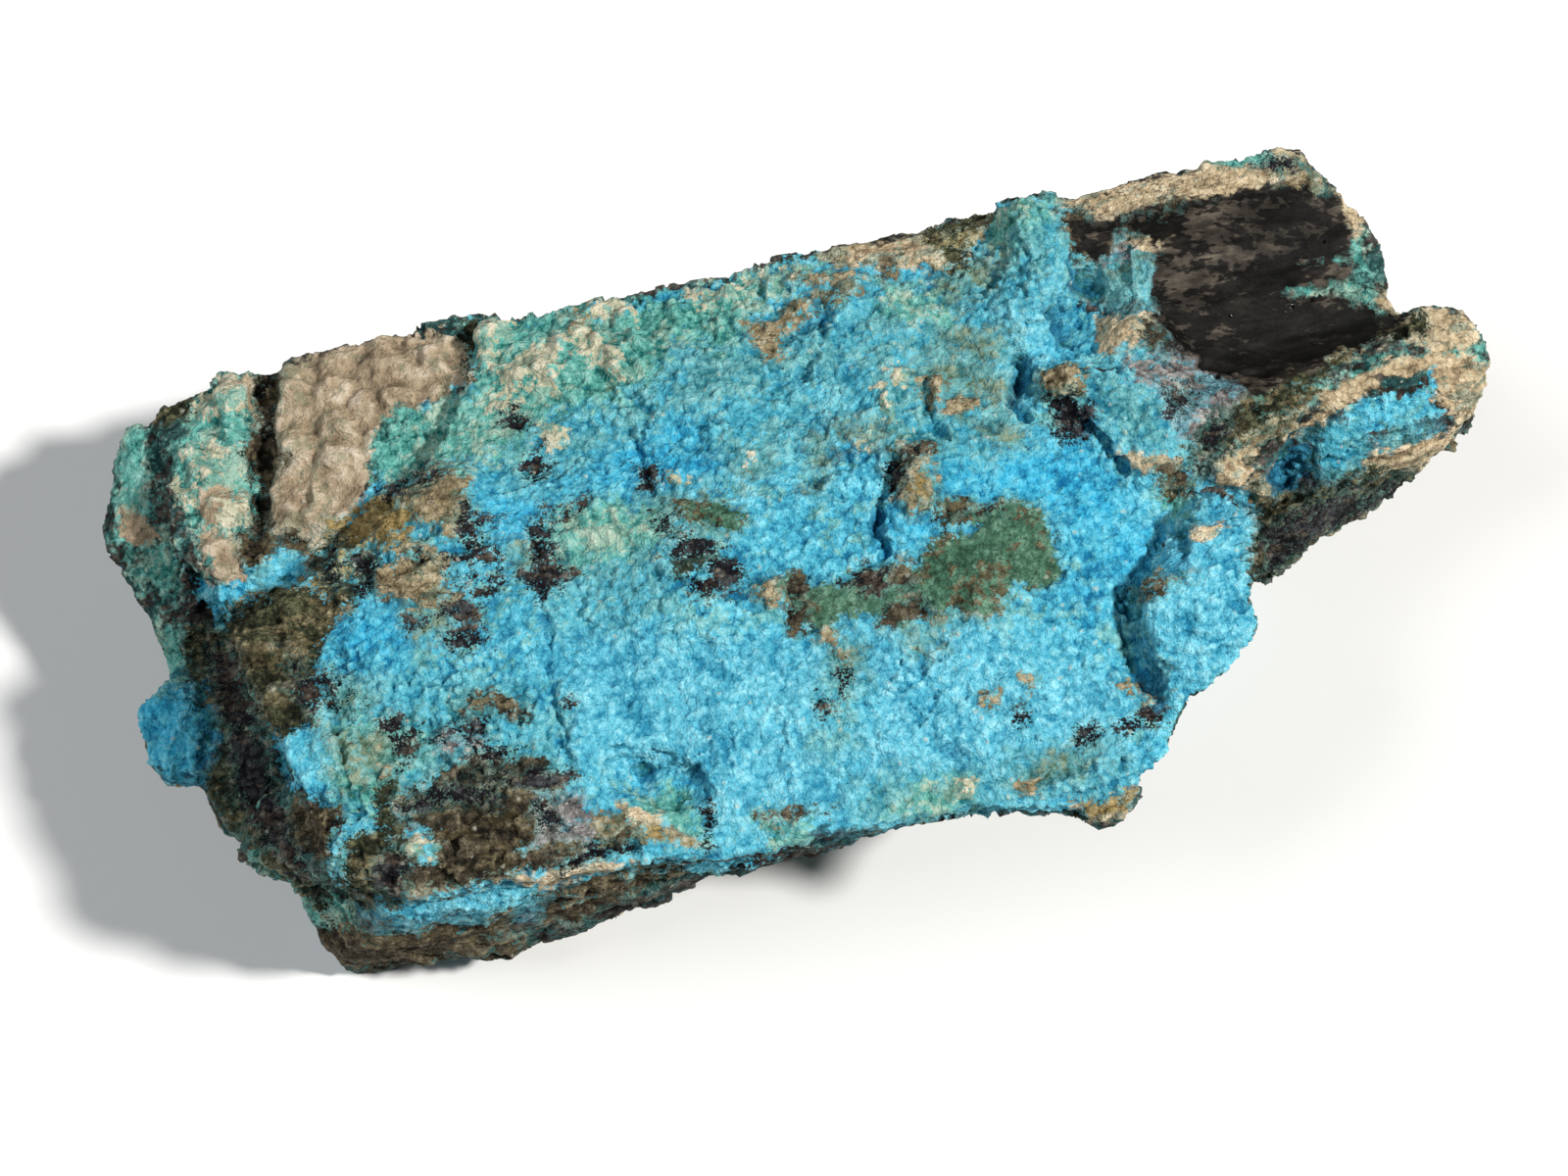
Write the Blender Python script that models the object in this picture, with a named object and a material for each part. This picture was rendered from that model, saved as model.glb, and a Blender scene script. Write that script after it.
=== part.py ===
"""A raw decrespignyite specimen: a broken block of copper-stained rock under a sky-blue crust.

The rock lies on its flat underside with the blue face up. X runs along its longest side, Y across
it and Z up, and the origin is the middle of the box round it, at the level of the underside.
It is one natural piece, so it is one solid. Lengths in this file are in millimetres until the
mesh is made, where MM turns them into metres.
"""

import math

import bmesh
import bpy
from mathutils import Matrix, Vector, noise

MM = 0.001

# Driving dimensions
SPECIMEN_LENGTH = 61.8
FACE_TOP = 17.5
VOXEL = 0.45
TRIANGLE_BUDGET = 9000

# The broken chunks that the rock is made of. Each is the convex hull of its corners: (x, y, depth
# below the level of the blue face). Depths past FACE_TOP run through the underside, which is cut flat.
UNDER = FACE_TOP + 1.5
CHUNKS = {
    "body": [
        (-14.2, 8.4, 2.2), (-13.6, -11.0, 2.0), (-7.0, -11.2, 2.4), (-0.4, -11.5, 1.6),
        (5.2, -12.6, 1.6), (10.5, -13.4, 1.9), (13.4, -12.4, 1.2), (14.8, -10.0, 1.0),
        (16.8, -3.5, 0.7), (17.0, 2.0, 0.6), (16.6, 9.0, 0.5), (15.3, 14.6, 0.9),
        (3.7, 14.7, 1.9), (-9.8, 16.0, 3.4), (-3.0, 1.0, 0.0), (6.0, -4.0, 0.1),
        (10.0, 5.0, 0.0), (-14.0, -5.4, UNDER), (-6.0, -4.0, UNDER), (6.0, -1.6, UNDER),
        (14.0, 0.6, UNDER), (17.5, 6.0, UNDER), (13.0, 12.0, UNDER), (-10.0, 13.2, UNDER),
        (-14.0, 9.0, UNDER),
    ],
    "west_block": [
        (-23.6, 3.6, 2.7), (-22.7, -2.8, 1.7), (-21.5, -8.3, 1.9), (-19.4, -10.1, 3.0),
        (-12.8, -11.0, 2.0), (-9.0, -5.0, 0.9), (-10.0, 4.0, 0.9), (-12.6, 8.6, 2.0),
        (-15.0, 7.6, 2.3), (-19.6, 4.9, 2.6), (-20.6, -6.2, UNDER), (-12.0, -6.2, UNDER),
        (-12.0, 8.0, UNDER), (-21.8, 4.0, UNDER),
    ],
    "front_shelf": [
        (-2.0, -9.2, 7.2), (6.6, -9.8, 6.6), (12.4, -9.2, 5.6), (15.6, -6.4, 7.0),
        (-1.0, -8.2, 9.4), (8.4, -8.4, 9.8), (13.0, -6.0, 10.6), (-2.0, -6.0, 6.0),
        (12.0, -6.0, 4.0), (4.0, -5.0, 12.0),
    ],
    "front_heel": [
        (-3.0, -6.4, 14.0), (2.4, -5.8, 13.2), (7.6, -4.2, 14.6), (-6.0, -5.0, UNDER),
        (1.6, -4.6, UNDER), (7.8, -2.6, UNDER), (0.0, -2.0, 11.0), (0.0, 2.0, UNDER),
    ],
    "back_shelf": [
        (-8.4, 16.8, 7.6), (1.6, 17.0, 8.2), (9.4, 16.2, 9.4), (-6.6, 16.2, 12.6),
        (8.0, 15.2, 14.8), (-4.0, 12.0, 6.4), (6.0, 12.0, 7.4), (-8.0, 13.8, UNDER),
        (7.4, 12.6, UNDER), (0.0, 10.0, UNDER),
    ],
    "foot": [
        (-22.6, -5.6, 11.0), (-20.6, -9.1, 15.0), (-15.9, -9.7, 14.8), (-11.2, -9.4, 14.4),
        (-6.0, -9.1, 11.6), (-2.4, -9.8, 7.6), (-20.2, -9.6, 6.5), (-12.8, -10.6, 5.2),
        (-14.0, 0.0, 6.0), (-22.6, -8.3, 14.6), (-24.0, -5.2, 14.0), (-22.0, -7.6, UNDER),
        (-20.4, -8.0, UNDER), (-11.5, -7.2, UNDER), (-6.5, -5.2, UNDER), (-23.0, -4.6, UNDER),
        (-10.0, 2.0, UNDER),
    ],
    "blue_ledge": [
        (-20.4, -10.4, 4.4), (-16.6, -10.9, 4.3), (-12.9, -10.9, 4.0), (-13.6, -10.9, 5.0),
        (-19.0, -10.8, 5.6), (-20.0, -8.0, 4.4), (-13.0, -8.0, 4.2), (-16.0, -8.0, 6.6),
    ],
    "shoulder": [
        (-24.8, 16.9, 6.2), (-20.7, 17.5, 5.6), (-13.4, 17.1, 4.6), (-9.4, 16.9, 4.0),
        (-11.0, 8.0, 3.4), (-15.0, 6.0, 4.0), (-23.6, 4.0, 4.8), (-24.9, 12.5, 5.3),
        (-24.6, 8.0, 5.0), (-22.2, 13.6, UNDER), (-12.0, 14.2, UNDER), (-10.0, 4.0, UNDER),
        (-22.0, 3.0, UNDER), (-20.0, 17.2, 10.0), (-24.2, 14.4, 11.5),
    ],
    "left_flank": [
        (-26.9, 16.7, 8.0), (-26.0, 16.6, 6.6), (-28.5, 12.8, 8.8), (-28.0, 10.2, 9.0),
        (-27.0, 7.4, 9.4), (-24.4, 15.2, 7.2), (-24.4, 7.4, 8.4), (-26.2, 13.6, 14.0), (-25.4, 8.6, 14.0),
        (-21.6, 13.4, UNDER), (-21.6, 6.0, UNDER), (-18.0, 8.0, 9.0),
    ],
    "left_neck": [
        (-27.0, 7.6, 9.8), (-27.2, 4.6, 9.8), (-26.4, -0.9, 10.2), (-24.0, 7.6, 8.6),
        (-25.6, -2.8, 10.4), (-23.6, -1.0, 8.8), (-22.6, 6.0, UNDER), (-21.8, -2.4, UNDER), (-18.0, 3.0, 9.0),
        (-18.0, -3.0, UNDER),
    ],
    "left_lobe": [
        (-28.6, 3.6, 9.4), (-28.9, 2.2, 9.8), (-28.2, 0.0, 9.2), (-27.2, 4.6, 8.8),
        (-26.6, 0.0, 8.8), (-27.6, 4.4, 12.0), (-28.0, 1.0, 12.0), (-26.6, 2.2, 8.2),
        (-23.0, 4.0, 9.0), (-23.0, 0.0, 9.0), (-24.0, 2.0, 15.0),
    ],
    "left_spike": [
        (-25.9, -4.8, 8.3), (-22.4, -2.0, 5.6), (-21.4, -7.2, 5.4), (-23.8, -2.6, 7.6),
        (-23.0, -6.6, 9.6), (-24.0, -4.2, 13.0), (-19.0, -4.0, 8.0), (-19.0, -6.0, 15.0),
    ],
    "slab": [
        (18.4, -1.0, 0.2), (19.3, -2.1, -0.8), (19.8, -3.7, -1.0), (19.0, -6.6, -1.0),
        (18.5, -8.6, -0.6), (16.7, -10.0, -0.1), (14.3, -11.0, 0.8), (13.9, -7.0, -0.9),
        (14.6, -5.7, -1.2), (16.0, -4.8, -1.2), (17.1, -2.4, -0.6), (18.4, -2.3, 3.6),
        (17.6, -6.0, 4.4), (15.0, -8.6, 4.2), (12.0, -5.0, 7.0), (15.6, -1.6, 12.0),
        (12.4, -4.6, 10.0),
    ],
    "tan_lip": [
        (8.6, -13.3, 2.2), (12.3, -13.5, 1.7), (11.7, -14.3, 2.8), (10.1, -14.4, 3.0),
        (9.2, -12.4, 4.2), (12.4, -11.8, 4.4), (11.0, -10.0, 2.6),
    ],
    "plate": [
        (15.0, 14.4, 0.9), (18.4, 13.9, 0.0), (23.7, 13.9, -0.7), (27.2, 13.6, -0.6),
        (29.0, 10.2, 0.2), (27.9, 6.8, 1.0), (29.6, 5.3, 1.9), (17.2, 3.0, 0.0),
        (17.4, -0.6, 0.4), (20.0, -0.6, 1.8), (15.8, 8.0, 0.2), (24.2, 13.4, 8.0),
        (27.0, 8.0, 9.0), (17.0, 12.4, UNDER), (20.6, 7.6, UNDER), (18.0, -0.4, UNDER),
    ],
    "tail": [
        (30.6, 0.5, 4.2), (26.9, 0.0, 4.6), (24.7, -0.6, 4.8), (21.5, -0.8, 4.6),
        (33.3, 3.1, 2.3), (32.4, 5.3, 1.4), (30.2, 5.7, 1.5), (24.5, 1.4, 2.6),
        (27.5, 2.6, 1.7), (30.0, 0.8, 8.6), (27.2, -0.3, 9.2), (24.9, -1.0, 9.8),
        (22.0, -2.0, 11.0), (32.5, 2.1, 5.0), (30.4, 4.6, 7.6), (26.0, 6.0, 11.0),
        (19.0, 0.0, 14.0), (18.0, 5.0, 14.0),
    ],
    "east_heel": [
        (17.5, -2.0, 7.0), (20.8, -0.8, 11.0), (25.0, 1.6, 12.0), (26.5, 6.0, 11.0),
        (24.4, 12.2, 10.0), (17.0, 13.4, 8.0), (12.0, 11.6, UNDER), (19.5, 9.4, UNDER),
        (22.4, 4.5, UNDER), (19.4, 0.6, UNDER), (13.0, -0.8, UNDER),
    ],
    "ridge": [
        (12.0, 9.7, 0.1), (13.2, 15.0, 0.8), (16.2, 15.2, 0.4), (16.2, 9.8, -0.4),
        (14.5, 9.0, -0.8), (14.2, 12.6, -0.8), (12.8, 7.6, -0.2), (14.0, 12.0, 4.0),
    ],
    "strip": [
        (14.4, 5.8, -0.8), (15.8, 5.4, -1.0), (17.9, 3.8, -0.8), (18.2, 0.6, -0.3),
        (17.0, -0.9, 0.1), (15.4, 0.3, -0.1), (14.4, 2.8, -0.6), (12.9, 4.9, -0.3),
        (12.4, 6.7, -0.1), (15.0, 3.0, 4.0), (17.5, 2.0, 5.0),
    ],
    "knob": [
        (5.4, 3.4, -0.5), (7.4, 3.5, -0.6), (7.0, 0.6, -0.5), (5.2, 0.9, -0.4),
        (4.8, -1.4, -0.2), (7.6, -0.6, 0.2), (6.2, 2.0, 2.0),
    ],
    "crooked_patch": [
        (-14.4, 8.3, 1.4), (-12.0, 8.1, 1.2), (-11.2, 4.4, 0.6), (-14.6, 0.4, 1.0),
        (-16.8, 3.4, 1.5), (-16.8, 5.6, 1.9), (-13.8, 4.0, 4.0),
    ],
}

# Hollows and rises worked into the upper surface: the outline in plan, how far the surface moves
# along Z, and how wide the slope at the outline is.
RELIEF = {
    "slickenside_trough": (
        [(18.8, 8.0), (23.6, 8.2), (28.0, 7.2), (29.0, 5.6), (24.4, 4.2), (19.6, 3.8)], -1.5, 3.0,
    ),
    "tail_pocket": (
        [(20.4, 0.6), (22.0, 1.9), (24.2, 1.5), (23.8, -0.8), (21.2, -1.2)], -1.6, 2.2,
    ),
    "slab_groove": (
        [(13.0, -7.6), (13.6, -5.2), (15.2, -3.6), (16.2, -1.6), (17.2, -0.4), (17.6, -1.8),
         (16.0, -4.2), (14.0, -5.8), (13.8, -9.6), (13.2, -9.4)], -0.8, 0.8,
    ),
    "ridge_pocket": (
        [(16.2, 11.0), (17.4, 10.4), (17.2, 7.6), (15.6, 6.6), (13.8, 6.8), (14.6, 8.4)], -1.1, 1.6,
    ),
    "edge_pit": ([(-9.2, -6.4), (-6.6, -7.2), (-5.6, -9.2), (-7.6, -9.4), (-9.6, -7.6)], -1.1, 0.9),
    "shoulder_seam": (
        [(-20.6, 17.8), (-19.2, 17.4), (-20.4, 15.0), (-19.7, 13.2), (-21.0, 11.2), (-20.4, 9.2),
         (-21.7, 9.2), (-21.9, 11.2), (-20.9, 13.3), (-21.5, 15.0)],
        -0.8, 1.2,
    ),
    "blue_notch": ([(-24.0, 7.0), (-20.8, 6.2), (-20.4, 5.3), (-24.0, 4.6)], -0.9, 1.0),
}

# The broken sides are flat-faced chips: (how far their planes stand out, chip size). The crusted
# upper surface has rounder lumps: (height, lump size).
SIDE_CHIPS = [(2.6, 8.0), (1.2, 3.6)]
SIDE_LUMPS = [(0.22, 1.8)]
TOP_LUMPS = [(0.24, 5.0), (0.20, 2.4), (0.10, 1.3)]
CHIP_CRISPNESS = 14.0
NOISE_ORIGIN = Vector((3.7, 11.2, 5.9))
NOISE_SEED = 18

# How the upper surface gives way to the sides: by the upward part of the normal, and by depth
TOP_NORMAL = (0.25, 0.75)
TOP_DEPTH = (9.0, 6.0)
# The chips are shallow along the rim, and reach their full height this far down
RIM_DEPTH = (1.0, 6.0)
RIM_CHIPS = 0.4


def clear_scene():
    for thing in list(bpy.data.objects):
        bpy.data.objects.remove(thing)


def chunk_hull(corners):
    """The convex hull of the corners, as a mesh."""
    mesh = bmesh.new()
    made = [mesh.verts.new((x, y, FACE_TOP - depth)) for x, y, depth in corners]
    result = bmesh.ops.convex_hull(mesh, input=made)
    spare = {item for item in result["geom_interior"] + result["geom_unused"]
             if isinstance(item, bmesh.types.BMVert)}
    bmesh.ops.delete(mesh, geom=list(spare), context="VERTS")
    bmesh.ops.recalc_face_normals(mesh, faces=mesh.faces)
    return mesh


def all_chunks():
    """The chunks in one mesh, each still a hull of its own."""
    together = bmesh.new()
    for corners in CHUNKS.values():
        hull = chunk_hull(corners)
        data = bpy.data.meshes.new("chunk")
        hull.to_mesh(data)
        hull.free()
        together.from_mesh(data)
        bpy.data.meshes.remove(data)
    return together


def modified(mesh, modifier_type, settings):
    """The mesh with one of Blender's modifiers applied to it."""
    data = bpy.data.meshes.new("stage")
    mesh.to_mesh(data)
    mesh.free()
    holder = bpy.data.objects.new("stage", data)
    bpy.context.scene.collection.objects.link(holder)
    modifier = holder.modifiers.new("step", modifier_type)
    for name, value in settings.items():
        setattr(modifier, name, value)
    after = bmesh.new()
    after.from_object(holder, bpy.context.evaluated_depsgraph_get())
    bpy.data.objects.remove(holder)
    bpy.data.meshes.remove(data)
    return after


def edge_distance(x, y, outline):
    """Distance from a point to the outline, positive inside it."""
    nearest = math.inf
    inside = False
    for (ax, ay), (bx, by) in zip(outline, outline[1:] + outline[:1]):
        ex, ey = bx - ax, by - ay
        share = max(0.0, min(1.0, ((x - ax) * ex + (y - ay) * ey) / (ex * ex + ey * ey)))
        nearest = min(nearest, math.hypot(x - ax - share * ex, y - ay - share * ey))
        if (ay > y) != (by > y) and x < ax + (y - ay) * ex / ey:
            inside = not inside
    return nearest if inside else -nearest


def smooth_step(value):
    value = max(0.0, min(1.0, value))
    return value * value * (3.0 - 2.0 * value)


def relief_at(point):
    """How far the hollows and rises move the upper surface at this point."""
    total = 0.0
    for outline, height, slope in RELIEF.values():
        inside = edge_distance(point.x, point.y, outline)
        total += height * smooth_step(0.5 + inside / slope)
    return total


def lumps_at(point, lumps):
    """The height of soft lumps at this point."""
    return sum(height * noise.noise(point / size + NOISE_ORIGIN * size) for height, size in lumps)


def chips_at(point, chips):
    """The height of flat-faced chips at this point: every Voronoi cell is a plane with a tilt of its own."""
    total = 0.0
    for height, size in chips:
        place = point / size + NOISE_ORIGIN
        distances, seeds = noise.voronoi(place)
        weighted, weights = 0.0, 0.0
        for distance, seed in zip(distances, seeds):
            weight = math.exp((distances[0] - distance) * CHIP_CRISPNESS)
            weighted += weight * noise.noise_vector(seed * size).dot(place - seed)
            weights += weight
        total += height * weighted / weights
    return total


def carve(mesh):
    """Works the hollows and the roughness into the surface."""
    # Blender seeds its vector noise by the clock, so a fixed seed makes every build the same
    noise.seed_set(NOISE_SEED)
    mesh.normal_update()
    moves = []
    for vert in mesh.verts:
        upward = smooth_step((vert.normal.z - TOP_NORMAL[0]) / (TOP_NORMAL[1] - TOP_NORMAL[0]))
        depth = FACE_TOP - vert.co.z
        top = upward * smooth_step((TOP_DEPTH[0] - depth) / (TOP_DEPTH[0] - TOP_DEPTH[1]))
        below_rim = smooth_step((depth - RIM_DEPTH[0]) / (RIM_DEPTH[1] - RIM_DEPTH[0]))
        chips = chips_at(vert.co, SIDE_CHIPS) * (RIM_CHIPS + (1.0 - RIM_CHIPS) * below_rim)
        side_rough = chips + lumps_at(vert.co, SIDE_LUMPS)
        rough = (1.0 - top) * side_rough + top * lumps_at(vert.co, TOP_LUMPS)
        moves.append(vert.normal * rough + Vector((0.0, 0.0, top * relief_at(vert.co))))
    for vert, move in zip(mesh.verts, moves):
        vert.co += move


def cut_flat(mesh):
    """Cuts the underside flat at Z = 0, so the rock has a face to lie on."""
    whole = mesh.verts[:] + mesh.edges[:] + mesh.faces[:]
    bmesh.ops.bisect_plane(
        mesh, geom=whole, dist=1e-5, plane_co=(0, 0, 0), plane_no=(0, 0, 1), clear_inner=True
    )
    rim = [edge for edge in mesh.edges if edge.is_boundary]
    for vert in {vert for edge in rim for vert in edge.verts}:
        vert.co.z = 0.0
    bmesh.ops.holes_fill(mesh, edges=rim)
    bmesh.ops.triangulate(mesh, faces=mesh.faces)
    bmesh.ops.recalc_face_normals(mesh, faces=mesh.faces)


def keep_largest(mesh):
    """Drops the crumbs that the cut leaves beside the rock."""
    bodies = []
    unseen = set(mesh.verts)
    while unseen:
        body, front = set(), [unseen.pop()]
        while front:
            vert = front.pop()
            body.add(vert)
            near = {edge.other_vert(vert) for edge in vert.link_edges} & unseen
            unseen -= near
            front.extend(near)
        bodies.append(body)
    largest = max(bodies, key=len)
    crumbs = [vert for body in bodies if body is not largest for vert in body]
    bmesh.ops.delete(mesh, geom=crumbs, context="VERTS")


def rough_block():
    """The whole rock, still in millimetres from a point near the middle of the blue face."""
    mesh = modified(all_chunks(), "REMESH", {"mode": "VOXEL", "voxel_size": VOXEL})
    carve(mesh)
    share = TRIANGLE_BUDGET / (2 * len(mesh.faces))
    mesh = modified(mesh, "DECIMATE", {"ratio": share, "use_collapse_triangulate": True})
    cut_flat(mesh)
    keep_largest(mesh)
    return mesh


def box_middle(mesh):
    xs = [vert.co.x for vert in mesh.verts]
    ys = [vert.co.y for vert in mesh.verts]
    return Vector(((max(xs) + min(xs)) / 2, (max(ys) + min(ys)) / 2, 0.0)), max(xs) - min(xs)


def to_size(mesh):
    """Puts the middle of the underside's box at the origin and scales to the specimen's real length."""
    middle, length = box_middle(mesh)
    scale = Matrix.Scale(SPECIMEN_LENGTH / length * MM, 4)
    bmesh.ops.transform(mesh, matrix=scale @ Matrix.Translation(-middle), verts=mesh.verts)


def stone_material():
    material = bpy.data.materials.new("blue crusted rock")
    material.use_nodes = True
    surface = material.node_tree.nodes["Principled BSDF"]
    surface.inputs["Base Color"].default_value = (0.10, 0.45, 0.66, 1.0)
    surface.inputs["Roughness"].default_value = 0.9
    surface.inputs["Metallic"].default_value = 0.0
    return material


def build_rock():
    mesh = rough_block()
    to_size(mesh)
    data = bpy.data.meshes.new("decrespignyite_rock")
    mesh.to_mesh(data)
    mesh.free()
    data.materials.append(stone_material())
    data.shade_smooth()
    data.set_sharp_from_angle(angle=math.radians(40.0))
    rock = bpy.data.objects.new("decrespignyite_rock", data)
    bpy.context.scene.collection.objects.link(rock)


clear_scene()
build_rock()
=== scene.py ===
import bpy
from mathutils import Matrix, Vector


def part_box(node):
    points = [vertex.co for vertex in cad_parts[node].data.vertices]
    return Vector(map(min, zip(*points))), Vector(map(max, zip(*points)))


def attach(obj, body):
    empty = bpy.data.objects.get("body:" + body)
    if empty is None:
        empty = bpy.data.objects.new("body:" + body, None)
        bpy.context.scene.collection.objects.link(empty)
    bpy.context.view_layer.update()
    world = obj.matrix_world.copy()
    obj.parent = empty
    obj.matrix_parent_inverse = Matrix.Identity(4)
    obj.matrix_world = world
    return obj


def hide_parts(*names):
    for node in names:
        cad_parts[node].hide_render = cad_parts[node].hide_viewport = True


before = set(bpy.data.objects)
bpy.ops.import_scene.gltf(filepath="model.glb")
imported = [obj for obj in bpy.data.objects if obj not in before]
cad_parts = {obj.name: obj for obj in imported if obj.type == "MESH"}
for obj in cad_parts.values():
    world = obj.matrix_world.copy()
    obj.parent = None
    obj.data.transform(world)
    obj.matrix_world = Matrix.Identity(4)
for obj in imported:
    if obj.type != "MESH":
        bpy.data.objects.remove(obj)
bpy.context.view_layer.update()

# A raw decrespignyite specimen: one broken block of copper-stained rock with a crumbly sky-blue crust.
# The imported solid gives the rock's form. Here its surface is remade finely, the crust, nodules, pits,
# ledges and streaks are moved into the mesh, and the patches of colour are laid over it.
# Lengths are in millimetres until the mesh is finished, where MM turns them into metres.

import math
from concurrent.futures import ThreadPoolExecutor
from itertools import chain

import bpy
import numpy as np
from mathutils import Matrix, Vector

MM = 0.001
NODE = "decrespignyite_rock"

# The camera, at the photograph's viewing angle
PHOTO_WIDTH = 1600
PHOTO_HEIGHT = 1200
AZIMUTH = math.radians(-14.0)
ELEVATION = math.radians(66.0)
LENS = 90.0
SENSOR = 36.0
DISTANCE = 170.3
CLIP_START = 0.005
AIM = Vector((-2.10, -1.68, 14.02))
BACK = Vector((
    math.sin(AZIMUTH) * math.cos(ELEVATION),
    -math.cos(AZIMUTH) * math.cos(ELEVATION),
    math.sin(ELEVATION),
))
RIGHT = Vector((math.cos(AZIMUTH), math.sin(AZIMUTH), 0.0))
UP = BACK.cross(RIGHT)
EYE = AIM + BACK * DISTANCE
FOCAL_PIXELS = LENS / SENSOR * PHOTO_WIDTH
MM_PER_PIXEL = DISTANCE / FOCAL_PIXELS

# How fine the remade surface is, and how many lengths it is cut into, from tail to far end
VOXEL = 0.135
LENGTHS = 4
FACE_CORNERS = 4

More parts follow.
